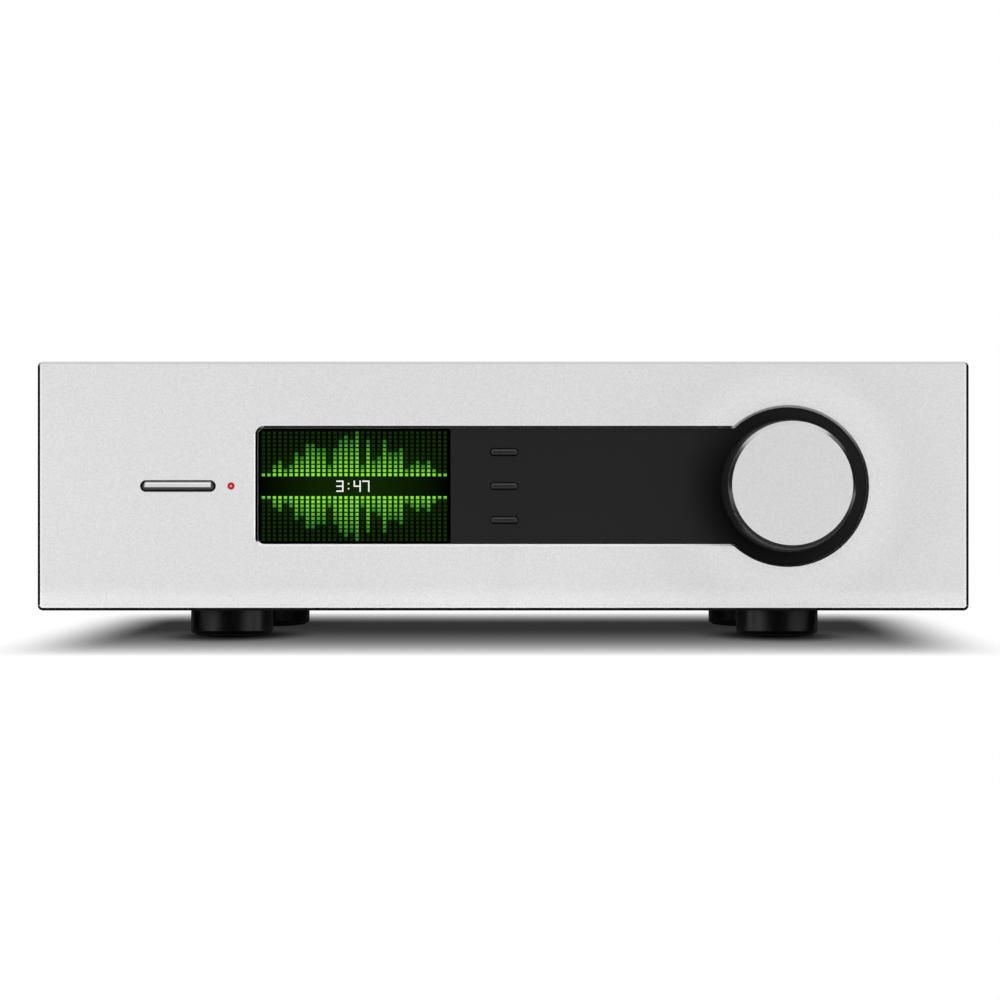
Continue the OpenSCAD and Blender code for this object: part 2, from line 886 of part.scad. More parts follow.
module encoder_body() {
    leg_w = encoder_leg_w;
    back = insert_back + encoder_h;
    low = mid_z - encoder_w / 2;
    color("slategray") difference() {
        union() {
            translate([knob_x - encoder_w / 2, face_y + insert_back, low])
                cube([encoder_w, encoder_h, encoder_w]);
            rod(knob_x, 0, bushing_front, insert_back, bushing_r);
            for (i = [-1:1])
                translate([knob_x + i * encoder_leg_pitch - leg_w / 2, face_y + back, low])
                    cube([leg_w, control_d - back, leg_w]);
        }
        rod(knob_x, 0, bushing_front - cut, back - encoder_floor, shaft_d / 2 + run_gap);
    }
}

module encoder_nut() {
    color("gainsboro") difference() {
        translate([knob_x, face_y + insert_recess - nut_t, mid_z]) rotate([-90, 0, 0])
            cylinder(h = nut_t, r = nut_r, $fn = 6);
        rod(knob_x, 0, insert_recess - nut_t - cut, insert_recess + cut, bushing_r + run_gap);
    }
}

// Case

// Folded base: tall front wall, floor and rear flange in one strip, with two side flanges
module chassis_base() {
    r_in = bend_r - sheet_t;
    strip_l = rear_d - panel_t;
    strip_h = inner_top_z - foot_h;
    color("#2b2b2b") difference() {
        union() {
            along_x(-chassis_x, chassis_x) translate([panel_t, foot_h - mid_z]) difference() {
                chassis_outline(strip_l, strip_h, bend_r);
                translate([sheet_t, sheet_t]) chassis_outline(strip_l - 2 * sheet_t, strip_h, r_in);
                translate([strip_l - sheet_t - cut, rear_flange_h]) square([sheet_t + 2 * cut, strip_h]);
            }
            for (s = [-1, 1])
                side_wall(s, panel_t + bend_r, rear_d - bend_r, foot_h, foot_h + chassis_flange_h);
        }
        slab(panel_t - cut, wall_d + cut) keyhole(insert_flange_w + fit);
        power_slot(panel_t - cut, wall_d + cut);
        rod(-led_x, 0, panel_t - cut, wall_d + cut, led_d / 2 + fit);
        for (p = panel_screw_places)
            rod(p.x, p.y, panel_t - cut, wall_d + cut, case_screw_r + screw_gap);
        for (p = standby_spacer_places)
            rod(p.x, p.y, panel_t - cut, wall_d + cut, small_screw_r + screw_gap);
        for (p = foot_places)
            post(p.x, p.y, foot_h - cut, floor_z + cut, foot_screw_r + screw_gap);
        for (p = concat(main_spacer_places, supply_spacer_places))
            post(p.x, p.y, foot_h - cut, floor_z + cut, small_screw_r + screw_gap);
        post(toroid_x, toroid_d, foot_h - cut, floor_z + cut, bolt_r + screw_gap);
        for (p = cover_screw_places, s = [-1, 1])
            cover_screw_hole(p, s * chassis_x);
        for (x = rear_screw_x)
            rod(x, rear_screw_z - mid_z, rear_d - sheet_t - cut, rear_d + cut, case_screw_r + screw_gap);
    }
}

// Strip of sheet at the chassis's side, on the left for s = -1 and on the right for s = 1
module side_wall(s, d0, d1, z0, z1) {
    mid = s * (chassis_x - sheet_t / 2);
    block(mid - sheet_t / 2, mid + sheet_t / 2, d0, d1, z0, z1);
}

// Hole for a cover screw in a side wall at x
module cover_screw_hole(place, x) {
    reach = sheet_t + cut;
    cross_rod(place.x, place.y, x - reach, x + reach, case_screw_r + screw_gap);
}

// Outline of a strip of sheet seen from its edge: round at the two lower corners
module chassis_outline(l, h, r) {
    translate([r, 0]) square([l - 2 * r, h]);
    translate([0, r]) square([l, h - r]);
    for (x = [r, l - r]) translate([x, r]) circle(r);
}

// Cover's section: round at the two upper corners, open below
module cover_outline(half, top, bottom, r) {
    translate([-half, bottom]) square([2 * half, top - r - bottom]);
    translate([r - half, bottom]) square([2 * (half - r), top - bottom]);
    for (s = [-1, 1]) translate([s * (half - r), top - r]) circle(r);
}

module top_cover() {
    top = cover_z - mid_z;
    bottom = foot_h - mid_z;
    vent_d = rear_d - vent_inset - vent_l / 2;
    color("#9a9a9a") difference() {
        slab(panel_t, case_d) difference() {
            cover_outline(case_x, top, bottom, bend_r);
            cover_outline(case_x - sheet_t, top - sheet_t, bottom - cut, bend_r - sheet_t);
        }
        for (bank = [sink_x, (main_left + main_right) / 2], i = [0:vent_count - 1])
            along_z(top - sheet_t - cut, top + cut)
                translate([bank + (i - (vent_count - 1) / 2) * vent_pitch, vent_d])
                    rotate(90) pill(vent_l, vent_w);
        for (p = cover_screw_places, s = [-1, 1])
            cover_screw_hole(p, s * case_x);
    }
}

module rear_panel() {
    low = foot_h - mid_z;
    high = inner_top_z - mid_z;
    return_low = foot_h + chassis_flange_h + rear_return_gap;
    color("#2b2b2b") difference() {
        union() {
            slab(rear_d, case_d) translate([-chassis_x, low]) square([2 * chassis_x, high - low]);
            for (s = [-1, 1])
                side_wall(s, rear_d - rear_return, rear_d, return_low, inner_top_z);
        }
        rear_hole(inlet_x, inlet_z, inlet_w + 2 * fit, inlet_h + 2 * fit);
        rear_hole(switch_x, inlet_z, rocker_w + 2 * (rocker_gap + switch_wall + fit),
            2 * (rocker_r + rocker_gap + switch_wall + fit));
        rear_hole(usb_x, board_top + usb_h / 2, usb_w + 2 * fit, usb_h + 2 * fit);
        rear_hole(ethernet_x, board_top + ethernet_h / 2, ethernet_w + 2 * fit, ethernet_h + 2 * fit);
        for (x = line_x) rear_bore(x, phono_z, phono_d / 2 + fit);
        rear_bore(trigger_x, board_top + trigger_h / 2, trigger_nose_r + fit);
        for (x = balanced_x) rear_bore(x, balanced_z, balanced_body_r + fit);
        for (x = antenna_x) rear_bore(x, antenna_z, antenna_r + fit);
        for (p = balanced_screw_places) rear_bore(p.x, p.y, case_screw_r + screw_gap);
        for (x = rear_screw_x) rear_bore(x, rear_screw_z, case_screw_r + screw_gap);
        for (p = cover_screw_places, s = [-1, 1])
            cover_screw_hole(p, s * chassis_x);
    }
}

module rear_hole(x, z, w, h) {
    slab(rear_d - cut, case_d + cut) translate([x, z - mid_z]) square([w, h], center = true);
}

module rear_bore(x, z, r) {
    rod(x, z - mid_z, rear_d - cut, case_d + cut, r);
}

module cover_screws() {
    color("#404040") for (p = cover_screw_places, s = [-1, 1]) {
        tip = s * (chassis_x - sheet_t - screw_tip);
        neck = s * case_x;
        cross_rod(p.x, p.y, min(tip, neck), max(tip, neck), case_screw_r);
        cap = s * (case_x + case_screw_head_h);
        cross_rod(p.x, p.y, min(cap, neck), max(cap, neck), case_screw_head_r);
    }
}

module rear_panel_screws() {
    color("#404040") {
        for (x = rear_screw_x)
            screw_out(x, rear_screw_z - mid_z, case_d, 2 * sheet_t + screw_tip,
                case_screw_r, case_screw_head_r, case_screw_head_h);
        for (p = balanced_screw_places)
            screw_out(p.x, p.y - mid_z, case_d + balanced_flange_t, balanced_flange_t + sheet_t + screw_tip,
                case_screw_r, balanced_screw_head_r, case_screw_head_h);
    }
}

module front_panel_screws() {
    color("dimgray") for (p = panel_screw_places)
        screw_out(p.x, p.y, wall_d, case_screw_bite + sheet_t,
            case_screw_r, case_screw_head_r, case_screw_head_h);
}

// Feet: turned drums, hollow underneath for the pad, with a well for the screw's head

module foot(place) {
    r = foot_d / 2;
    e = min(foot_edge_r, pad_rim - foot_rim_flat);
    well_z = pad_proud + pad_seat;
    color("#151515") translate([place.x, face_y + place.y, 0]) difference() {
        rotate_extrude() {
            translate([0, pad_proud]) square([r - e, foot_h - pad_proud]);
            translate([0, pad_proud + e]) square([r, foot_h - pad_proud - e]);
            translate([r - e, pad_proud + e]) circle(e);
        }
        translate([0, 0, pad_proud - cut]) cylinder(h = pad_seat + cut, r = pad_r + fit);
        translate([0, 0, well_z - cut]) cylinder(h = foot_screw_well + cut, r = foot_screw_head_r + fit);
        cylinder(h = foot_h + cut, r = foot_screw_r + screw_gap);
    }
}

module foot_front_left() { foot(foot_places[0]); }
module foot_front_right() { foot(foot_places[1]); }
module foot_rear_left() { foot(foot_places[2]); }
module foot_rear_right() { foot(foot_places[3]); }

module foot_pads() {
    color("#0e0e0e") for (p = foot_places)
        translate([p.x, face_y + p.y, 0]) rotate_extrude() intersection() {
            translate([0, pad_crown_r - pad_flat_drop]) circle(pad_crown_r, $fn = 256);
            square([pad_r, pad_proud + pad_seat]);
        }
}

module foot_screws() {
    seat_z = pad_proud + pad_seat + foot_screw_well;
    color("dimgray") for (p = foot_places) {
        post(p.x, p.y, seat_z - foot_screw_head_h, seat_z, foot_screw_head_r);
        post(p.x, p.y, seat_z, floor_z + screw_tip, foot_screw_r);
    }
}

// Boards

module circuit_board(x0, x1, d0, d1, places) {
    color("darkgreen") difference() {
        block(x0, x1, d0, d1, board_z, board_top);
        for (p = places) post(p.x, p.y, board_z - cut, board_top + cut, small_screw_r + screw_gap);
    }
}

module mainboard() {
    circuit_board(main_left, main_right, main_front, board_rear, main_spacer_places);
}

module supply_board() {
    circuit_board(supply_left, supply_right, supply_front, board_rear, supply_spacer_places);
}

module upright_spacer(x, d) {
    difference() {
        post(x, d, floor_z, board_z, spacer_r);
        post(x, d, floor_z - cut, board_z + cut, small_screw_r + screw_gap);
    }
}

module board_spacers() {
    color("goldenrod") {
        for (p = concat(main_spacer_places, supply_spacer_places)) upright_spacer(p.x, p.y);
        for (p = standby_spacer_places) difference() {
            union() {
                rod(p.x, p.y, wall_d, standby_d, spacer_r);
                rod(p.x, p.y, panel_t, wall_d, small_screw_r);
            }
            tapped_hole(p, standby_d);
        }
    }
}

module board_screws() {
    color("dimgray") {
        for (p = concat(main_spacer_places, supply_spacer_places)) {
            post(p.x, p.y, board_z - small_screw_bite, board_top, small_screw_r);
            post(p.x, p.y, board_top, board_top + small_screw_head_h, small_screw_head_r);
            post(p.x, p.y, foot_h, floor_z + small_screw_bite, small_screw_r);
            post(p.x, p.y, foot_h - small_screw_head_h, foot_h, small_screw_head_r);
        }
        for (p = standby_spacer_places)
            screw_out(p.x, p.y, standby_d + board_t, board_t + small_screw_bite,
                small_screw_r, small_screw_head_r, small_screw_head_h);
        for (p = boss_places)
            screw_out(p.x, p.y, control_d + board_t, board_t + small_screw_bite,
                small_screw_r, small_screw_head_r, small_screw_head_h);
    }
}

// Converter chips, output filter cans and relays in the analogue corner of the mainboard
module mainboard_components() {
    chip_w = 14;
    chip_h = 2;
    can_r = 5;
    can_h = 14;
    relay = [10, 20, 12];
    chip_d = main_front + chip_row;
    can_d = main_front + can_row;
    relay_d = main_front + relay_row;
    color("#202020") {
        for (i = [0:2])
            translate([main_left + chip_inset + i * chip_pitch, face_y + chip_d, board_top])
                cube([chip_w, chip_w, chip_h]);
        for (i = [0:5])
            post(main_left + can_inset + i * can_pitch, can_d, board_top, board_top + can_h, can_r);
        for (x = balanced_x) translate([x, face_y + relay_d, board_top]) cube(relay);
    }
}

// Plug-in network card: header, board and shield can
module streaming_module() {
    card = [module_w, 48, board_t];
    header_inset = 2;
    header = [module_w - 2 * header_inset, 5, 7];
    shield = [32, 30, 3.2];
    shield_inset = 12;
    left = main_right - module_inset - module_w;
    color("#4a4a4a") translate([left, face_y + main_front + module_front, board_top]) {
        translate([header_inset, header_inset, 0]) cube(header);
        translate([0, 0, header.z]) cube(card);
        translate([shield_inset, shield_inset, header.z + board_t]) cube(shield);
    }
}

module smoothing_capacitors() {
    color("#1f2a44") for (i = [0:3])
        post(sink_x + (i - 1.5) * capacitor_pitch, board_rear - capacitor_inset,
            board_top, board_top + capacitor_h, capacitor_r);
}

// Extruded heat sink: a back plate with a row of fins
module heat_sink() {
    color("#3a3a3a") translate([sink_x - sink_w / 2, face_y + sink_d, board_top]) linear_extrude(sink_h) {
        square([sink_w, sink_base]);
        for (i = [0:sink_fins - 1])
            translate([i * (sink_w - sink_fin_t) / (sink_fins - 1), -sink_fin_l])
                square([sink_fin_t, sink_fin_l + sink_base]);
    }
}

// Regulators stand on their legs against the heat sink's plate
module regulators() {
    back = sink_d + sink_base;
    leg_w = regulator_leg_w;
    color("#181818") for (i = [-1:1]) {
        x = sink_x + i * regulator_pitch;
        block(x - regulator_w / 2, x + regulator_w / 2, back, back + regulator_t,
            board_top + regulator_lift, board_top + regulator_lift + regulator_h);
        for (leg = [-1:1])
            translate([x + leg * regulator_leg_pitch, face_y + back + regulator_leg_d, board_top])
                translate([-leg_w / 2, 0, 0]) cube([leg_w, leg_w, regulator_lift]);
    }
}

// Transformer: a taped ring between two rubber discs, held by a dished clamp and a bolt

module transformer() {
    w = toroid_r - toroid_hole_r;
    color("#c8a13a") translate([toroid_x, face_y + toroid_d, toroid_z]) rotate_extrude()
        translate([toroid_hole_r + w / 2, toroid_h / 2]) rounded(w, toroid_h, toroid_edge_r);
}

module transformer_pads() {
    color("#1a1a1a") for (z = [floor_z, toroid_z + toroid_h]) difference() {
        post(toroid_x, toroid_d, z, z + toroid_pad_t, toroid_r - toroid_edge_r);
        post(toroid_x, toroid_d, z - cut, z + toroid_pad_t + cut, toroid_hole_r);
    }
}

module transformer_clamp() {
    t = clamp_t;
    eye_r = bolt_r + screw_gap;
    color("gainsboro") translate([toroid_x, face_y + toroid_d, clamp_z]) rotate_extrude() polygon([
        [eye_r, -clamp_dip], [clamp_eye_r, -clamp_dip], [toroid_hole_r - t, 0], [clamp_r, 0],
        [clamp_r, t], [toroid_hole_r - 2 * t, t], [clamp_eye_r, t - clamp_dip], [eye_r, t - clamp_dip],
    ]);
}

module transformer_bolt() {
    nut_z = clamp_z - clamp_dip + clamp_t;
    color("gainsboro") {
        post(toroid_x, toroid_d, foot_h - bolt_head_h, foot_h, bolt_head_r);
        post(toroid_x, toroid_d, foot_h, nut_z + bolt_nut_t + bolt_tail, bolt_r);
        translate([toroid_x, face_y + toroid_d, nut_z]) cylinder(h = bolt_nut_t, r = bolt_head_r, $fn = 6);
    }
}

// Ribbons between the boards, each with a plug at both ends

// Quarter bend of a ribbon, from the first axis to the second
module ribbon_bend_outline() {
    intersection() {
        difference() {
            circle(ribbon_bend);
            circle(ribbon_bend - ribbon_t);
        }
        square(ribbon_bend);
    }
}

module display_ribbon() {
    start_d = control_d + board_t;
    plug_z = board_top - mid_z;
    end_d = main_front + plug_inset;
    half = display_ribbon_w / 2;
    plug_half = half + plug_rim;
    z = -display_ribbon_drop;
    bend_d = end_d - ribbon_bend + ribbon_t / 2;
    bend_z = z - ribbon_bend + ribbon_t / 2;
    color("lightgray") {
        along_x(display_ribbon_x - plug_half, display_ribbon_x + plug_half) {
            translate([start_d, z - plug_l / 2]) square([plug_h, plug_l]);
            translate([end_d - plug_l / 2, plug_z]) square([plug_l, plug_h]);
        }
        along_x(display_ribbon_x - half, display_ribbon_x + half) {
            translate([start_d + plug_h, z - ribbon_t / 2]) square([bend_d - start_d - plug_h, ribbon_t]);
            translate([bend_d, bend_z]) ribbon_bend_outline();
            translate([end_d - ribbon_t / 2, plug_z + plug_h]) square([ribbon_t, bend_z - plug_z - plug_h]);
        }
    }
}

module supply_ribbon() {
    d0 = board_rear - supply_ribbon_inset;
    ends = [supply_right - plug_inset, main_left + plug_inset];
    top_z = board_top + plug_h + supply_ribbon_rise + ribbon_bend;
    half = ribbon_t / 2;
    bend_left = ends[0] - half + ribbon_bend;
    bend_right = ends[1] + half - ribbon_bend;
    color("lightgray") {
        for (x = ends)
            block(x - plug_l / 2, x + plug_l / 2, d0 - plug_rim, d0 + supply_ribbon_w + plug_rim,
                board_top, board_top + plug_h);
        slab(d0, d0 + supply_ribbon_w) translate([0, -mid_z]) {
            for (x = ends) translate([x - half, board_top + plug_h]) square([ribbon_t, supply_ribbon_rise]);
            translate([bend_left, top_z - ribbon_t]) square([bend_right - bend_left, ribbon_t]);
            translate([bend_right, top_z - ribbon_bend]) ribbon_bend_outline();
            translate([bend_left, top_z - ribbon_bend]) mirror([1, 0]) ribbon_bend_outline();
        }
    }
}

// Rear sockets

// Outline of the inlet's well: two of its corners are cut off
module inlet_well_outline() {
    w = inlet_well_w / 2;
    h = inlet_well_h / 2;
    c = inlet_corner;
    polygon([[-w, -h], [w, -h], [w, h - c], [w - c, h], [c - w, h], [-w, h - c]]);
}

module mains_inlet() {
    floor_d = case_d + inlet_flange_t - inlet_well_l;
    low = inlet_z - mid_z;
    color("#141414") difference() {
        union() {
            slab(case_d, case_d + inlet_flange_t)
                translate([inlet_x, low])
                    rounded(inlet_w + 2 * inlet_flange, inlet_h + 2 * inlet_flange, inlet_corner_r);
            slab(case_d - inlet_body_l, case_d)
                translate([inlet_x, low]) square([inlet_w, inlet_h], center = true);
        }
        slab(floor_d, case_d + inlet_flange_t + cut) translate([inlet_x, low]) inlet_well_outline();
    }
    color("gainsboro") for (p = inlet_pins)
        slab(floor_d, floor_d + inlet_pin_l)
            translate([inlet_x + p.x, low + p.y]) square(inlet_pin, center = true);
}

// Rocker's well and bearings
module mains_switch() {
    w = rocker_w / 2 + rocker_gap;
    h = rocker_r + rocker_gap;
    bearing = w + rocker_pin_l + rocker_pin_gap;
    low = inlet_z - mid_z;
    color("#141414") difference() {
        union() {
            slab(case_d, case_d + switch_rim) translate([switch_x, low])
                rounded(2 * (w + switch_wall + switch_rim), 2 * (h + switch_wall + switch_rim), switch_rim);
            slab(case_d - switch_body_l, case_d) translate([switch_x, low])
                square([2 * (w + switch_wall), 2 * (h + switch_wall)], center = true);
        }
        slab(case_d - switch_well_l, case_d + switch_rim + cut)
            translate([switch_x, low]) square([2 * w, 2 * h], center = true);
        cross_rod(case_d - rocker_pivot, inlet_z, switch_x - bearing, switch_x + bearing,
            rocker_pin_r + run_gap);
    }
}

// Rocker: a disc's edge with two flat faces that meet in a shallow valley, on a cross pin
module power_rocker() {
    tilt = rocker_swing / 2;
    rise = rocker_r * tan(tilt);
    half = rocker_w / 2;
    color("#0c0c0c") translate([switch_x, face_y + case_d - rocker_pivot, inlet_z]) rotate([tilt, 0, 0]) {
        translate([-half, 0, 0]) rotate([90, 0, 90]) linear_extrude(2 * half) intersection() {
            circle(rocker_r);
            polygon([
                [-rocker_back, -rocker_r], [rocker_face + rise, -rocker_r], [rocker_face, 0],
                [rocker_face + rise, rocker_r], [-rocker_back, rocker_r],
            ]);
        }
        translate([-half - rocker_gap - rocker_pin_l, 0, 0]) rotate([0, 90, 0])
            cylinder(h = rocker_w + 2 * (rocker_gap + rocker_pin_l), r = rocker_pin_r);
    }
}

// Phono sockets: a block on the board, a sleeve through the rear panel and an insulated eye
module phono_outputs() {
    sleeve_r = phono_d / 2;
    low = phono_z - mid_z;
    color("gold") for (x = line_x) {
        difference() {
            union() {
                block(x - phono_block_w / 2, x + phono_block_w / 2, rear_d - phono_block_l, rear_d,
                    board_top, board_top + phono_block_h);
                rod(x, low, rear_d, case_d + phono_reach, sleeve_r);
                rod(x, low, case_d, case_d + phono_collar_t, phono_collar_r);
            }
            rod(x, low, case_d + phono_floor, case_d + phono_reach + cut, sleeve_r - phono_wall);
        }
        difference() {
            rod(x, low, case_d + phono_floor, case_d + phono_reach - phono_eye_sunk,
                sleeve_r - phono_wall - run_gap);
            rod(x, low, case_d + 2 * phono_floor, case_d + phono_reach + cut, phono_pin_r);
        }
    }
}

module balanced_outputs() {
    low = balanced_z - mid_z;
    floor_d = case_d + balanced_flange_t - balanced_well_l;
    color("#a8a8a8") for (x = balanced_x) {
        difference() {
            union() {
                slab(case_d, case_d + balanced_flange_t)
                    translate([x, low]) rounded(balanced_flange_w, balanced_flange_h, balanced_corner_r);
                rod(x, low, case_d - balanced_body_l, case_d, balanced_body_r);
            }
            rod(x, low, floor_d, case_d + balanced_flange_t + cut, balanced_bore_r);
            for (s = [-1, 1])
                rod(x + s * balanced_screw_x, low + s * balanced_screw_z, case_d - cut,
                    case_d + balanced_flange_t + cut, case_screw_r + screw_gap);
        }
        for (a = [90, 210, 330])
            rod(x + balanced_pin_ring * cos(a), low + balanced_pin_ring * sin(a), floor_d,
                floor_d + balanced_pin_l, balanced_pin_r);
    }
}

module ethernet_jack() {
    back = case_d + jack_proud;
    well_z = board_top + ethernet_well_lift;
    w = ethernet_w / 2;
    well_w = ethernet_well_w / 2;
    notch_w = ethernet_notch_w / 2;
    color("silver") difference() {
        block(ethernet_x - w, ethernet_x + w, back - ethernet_l, back, board_top, board_top + ethernet_h);
        block(ethernet_x - well_w, ethernet_x + well_w, back - ethernet_well_l, back + cut,
            well_z, well_z + ethernet_well_h);
        block(ethernet_x - notch_w, ethernet_x + notch_w, back - ethernet_well_l, back + cut,
            well_z - ethernet_notch_h, well_z + cut);
    }
}

module usb_jack() {
    back = case_d + jack_proud;
    w = usb_w / 2;
    mid = board_top + usb_h / 2;
    color("silver") difference() {
        block(usb_x - w, usb_x + w, back - usb_l, back, board_top, board_top + usb_h);
        block(usb_x - w + usb_wall, usb_x + w - usb_wall, back - usb_l + usb_floor, back + cut,
            board_top + usb_wall, board_top + usb_h - usb_wall);
    }
    color("black") block(usb_x - w + usb_tongue_inset, usb_x + w - usb_tongue_inset,
        back - usb_l + usb_floor, back - usb_tongue_sunk, mid, mid + usb_tongue_t);
}

module antenna_sockets() {
    low = antenna_z - mid_z;
    color("gold") for (x = antenna_x) difference() {
        union() {
            rod(x, low, case_d, case_d + antenna_reach, antenna_r);
            rod(x, low, rear_d, case_d, antenna_r);
            rod(x, low, case_d, case_d + antenna_nut_t, antenna_nut_r);
            rod(x, low, rear_d - antenna_tail, rear_d, antenna_nut_r);
        }
        rod(x, low, case_d + antenna_reach - antenna_eye_l, case_d + antenna_reach + cut, antenna_eye_r);
    }
}

module trigger_jack() {
    w = trigger_w / 2;
    low = board_top + trigger_h / 2 - mid_z;
    color("#181818") difference() {
        union() {
            block(trigger_x - w, trigger_x + w, rear_d - trigger_l, rear_d,
                board_top, board_top + trigger_h);
            rod(trigger_x, low, rear_d, case_d + trigger_nose, trigger_nose_r);
        }
        rod(trigger_x, low, rear_d - trigger_l + trigger_floor, case_d + trigger_nose + cut,
            trigger_bore_d / 2);
    }
}

front_panel();
fascia_insert();
display_lens();
display_module();
upper_button();
middle_button();
lower_button();
upper_plunger();
middle_plunger();
lower_plunger();
button_switches();
power_button();
power_plunger();
standby_board();
standby_led();
standby_lens();
knob_cap();
knob_body();
knob_set_screw();
encoder_shaft();
encoder_body();
encoder_nut();
control_board();
chassis_base();
top_cover();
rear_panel();
cover_screws();
rear_panel_screws();
front_panel_screws();
insert_screws();
foot_front_left();
foot_front_right();
foot_rear_left();
foot_rear_right();
foot_pads();
foot_screws();
mainboard();
mainboard_components();
streaming_module();
supply_board();
smoothing_capacitors();
heat_sink();
regulators();
transformer();
transformer_pads();
transformer_clamp();
transformer_bolt();
board_spacers();
board_screws();
display_ribbon();
supply_ribbon();
mains_inlet();
mains_switch();
power_rocker();
phono_outputs();
balanced_outputs();
ethernet_jack();
usb_jack();
antenna_sockets();
trigger_jack();
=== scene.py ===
import math

import bpy
from mathutils import Matrix, Vector


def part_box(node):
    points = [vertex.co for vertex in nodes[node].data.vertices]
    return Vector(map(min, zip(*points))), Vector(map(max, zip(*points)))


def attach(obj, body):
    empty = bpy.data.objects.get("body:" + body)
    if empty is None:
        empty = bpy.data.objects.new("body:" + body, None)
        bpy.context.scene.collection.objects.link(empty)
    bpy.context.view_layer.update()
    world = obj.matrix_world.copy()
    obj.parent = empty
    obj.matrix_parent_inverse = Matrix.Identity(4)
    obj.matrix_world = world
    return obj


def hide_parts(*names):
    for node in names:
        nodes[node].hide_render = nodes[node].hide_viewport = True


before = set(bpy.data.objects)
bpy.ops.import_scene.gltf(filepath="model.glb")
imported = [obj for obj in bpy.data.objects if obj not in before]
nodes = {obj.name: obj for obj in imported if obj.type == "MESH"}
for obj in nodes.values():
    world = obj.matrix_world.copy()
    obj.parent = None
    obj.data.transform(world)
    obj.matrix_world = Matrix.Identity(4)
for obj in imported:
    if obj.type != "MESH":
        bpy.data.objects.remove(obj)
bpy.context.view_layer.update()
mm = 0.001
print("frame loaded:", len(nodes), "nodes")


# A socket's value: an expression on it adds its Math nodes
class Value:
    def __init__(self, finish, out):
        self.finish = finish
        self.out = out

    def math(self, operation, a, b=0.0):
        return self.finish.node("Math", {"operation": operation}, {0: a, 1: b})

    def __add__(self, other):
        return self.math("ADD", self, other)

    def __radd__(self, other):
        return self.math("ADD", other, self)

    def __sub__(self, other):
        return self.math("SUBTRACT", self, other)

    def __rsub__(self, other):
        return self.math("SUBTRACT", other, self)

    def __mul__(self, other):
        return self.math("MULTIPLY", self, other)

    def __rmul__(self, other):
        return self.math("MULTIPLY", other, self)

    def __truediv__(self, other):
        return self.math("DIVIDE", self, other)

    def __pow__(self, other):
        return self.math("POWER", self, other)

    def __lt__(self, other):
        return self.math("LESS_THAN", self, other)

    def __gt__(self, other):
        return self.math("GREATER_THAN", self, other)

    def __abs__(self):
        return self.math("ABSOLUTE", self)

    def sin(self):
        return self.math("SINE", self)

    def angle(self, across):
        return self.math("ARCTAN2", self, across)

    def floor(self):
        return self.math("FLOOR", self)

    def fract(self):
        return self.math("FRACT", self)

    def most(self, other):
        return self.math("MAXIMUM", self, other)

    def least(self, other):
        return self.math("MINIMUM", self, other)

    # 0 below low, 1 above high, smooth between
    def ease(self, low, high):
        return self.finish.node("MapRange", {"interpolation_type": "SMOOTHSTEP"},
                                {"Value": self, "From Min": low, "From Max": high})


# A material or the world, with its nodes
class Finish:
    def __init__(self, name, owner=None):
        self.owner = owner or bpy.data.materials.new(name)
        self.owner.use_nodes = True
        self.tree = self.owner.node_tree
        self.tree.nodes.clear()

    # Any node: its type, its settings first, then values or links for its sockets
    def node(self, kind, settings=None, sockets=None, out=0):
        made = self.tree.nodes.new("ShaderNode" + kind)
        for key, value in (settings or {}).items():
            setattr(made, key, value)
        for key, value in (sockets or {}).items():
            self.plug(made.inputs[key], value)
        return Value(self, made.outputs[out])

    def plug(self, socket, value):
        if isinstance(value, Value):
            self.tree.links.new(value.out, socket)
        else:
            socket.default_value = value

    def split(self, vector):
        parts = self.node("SeparateXYZ", sockets={0: vector}).out.node.outputs
        return [Value(self, part) for part in parts]

    def place(self):
        coords = self.node("TexCoord", out="Object")
        return coords, self.split(coords)

    def placeInMm(self):
        return [part / mm for part in self.place()[1]]

    def normal(self):
        return self.split(self.node("NewGeometry", out="Normal"))

    def mix(self, factor, a, b):
        return self.node("Mix", {"data_type": "RGBA"}, {0: factor, 6: a, 7: b}, out=2)

    def color(self, red, green, blue):
        return self.node("CombineColor", sockets={0: red, 1: green, 2: blue})

    def noise(self, coords, scale, detail=2.0, rough=0.5):
        return self.node("TexNoise", sockets={"Vector": coords, "Scale": scale, "Detail": detail,
                                              "Roughness": rough})

    # Fine relief of a height in metres
    def bump(self, height, depth, strength):
        return self.node("Bump", sockets={"Height": height, "Distance": depth, "Strength": strength})

    def surface(self, **sockets):
        named = {key.replace("_", " "): value for key, value in sockets.items()}
        self.finishWith(self.node("BsdfPrincipled", sockets=named))

    def finishWith(self, shader, kind="OutputMaterial"):
        end = self.tree.nodes.new("ShaderNode" + kind)
        self.tree.links.new(shader.out, end.inputs["Surface"])


def grey(level):
    return (level, level, level, 1)


def distance(u, v):
    return (u ** 2.0 + v ** 2.0) ** 0.5


def inDisc(u, v, middle, radius):
    return (u - middle[0]) ** 2.0 + (v - middle[1]) ** 2.0 < radius ** 2


def inBox(u, v, middle, halfW, halfH):
    return (abs(u - middle[0]) < halfW) * (abs(v - middle[1]) < halfH)


def centre(name):
    low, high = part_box(name)
    return (low + high) / 2


def wear(finish, names):
    for name in names:
        nodes[name].data.materials.clear()
        nodes[name].data.materials.append(finish.owner)


# Blasted silver of the panel and the knob cap: faces within the slopes are cut bright
blastLook = {"slopes": (0.3, 0.95), "metal": 0.7, "blue": 1.002, "relief": 0.5,
             "cloudScale": 14.0, "cloudTone": 0.012, "cloudRough": 0.05}


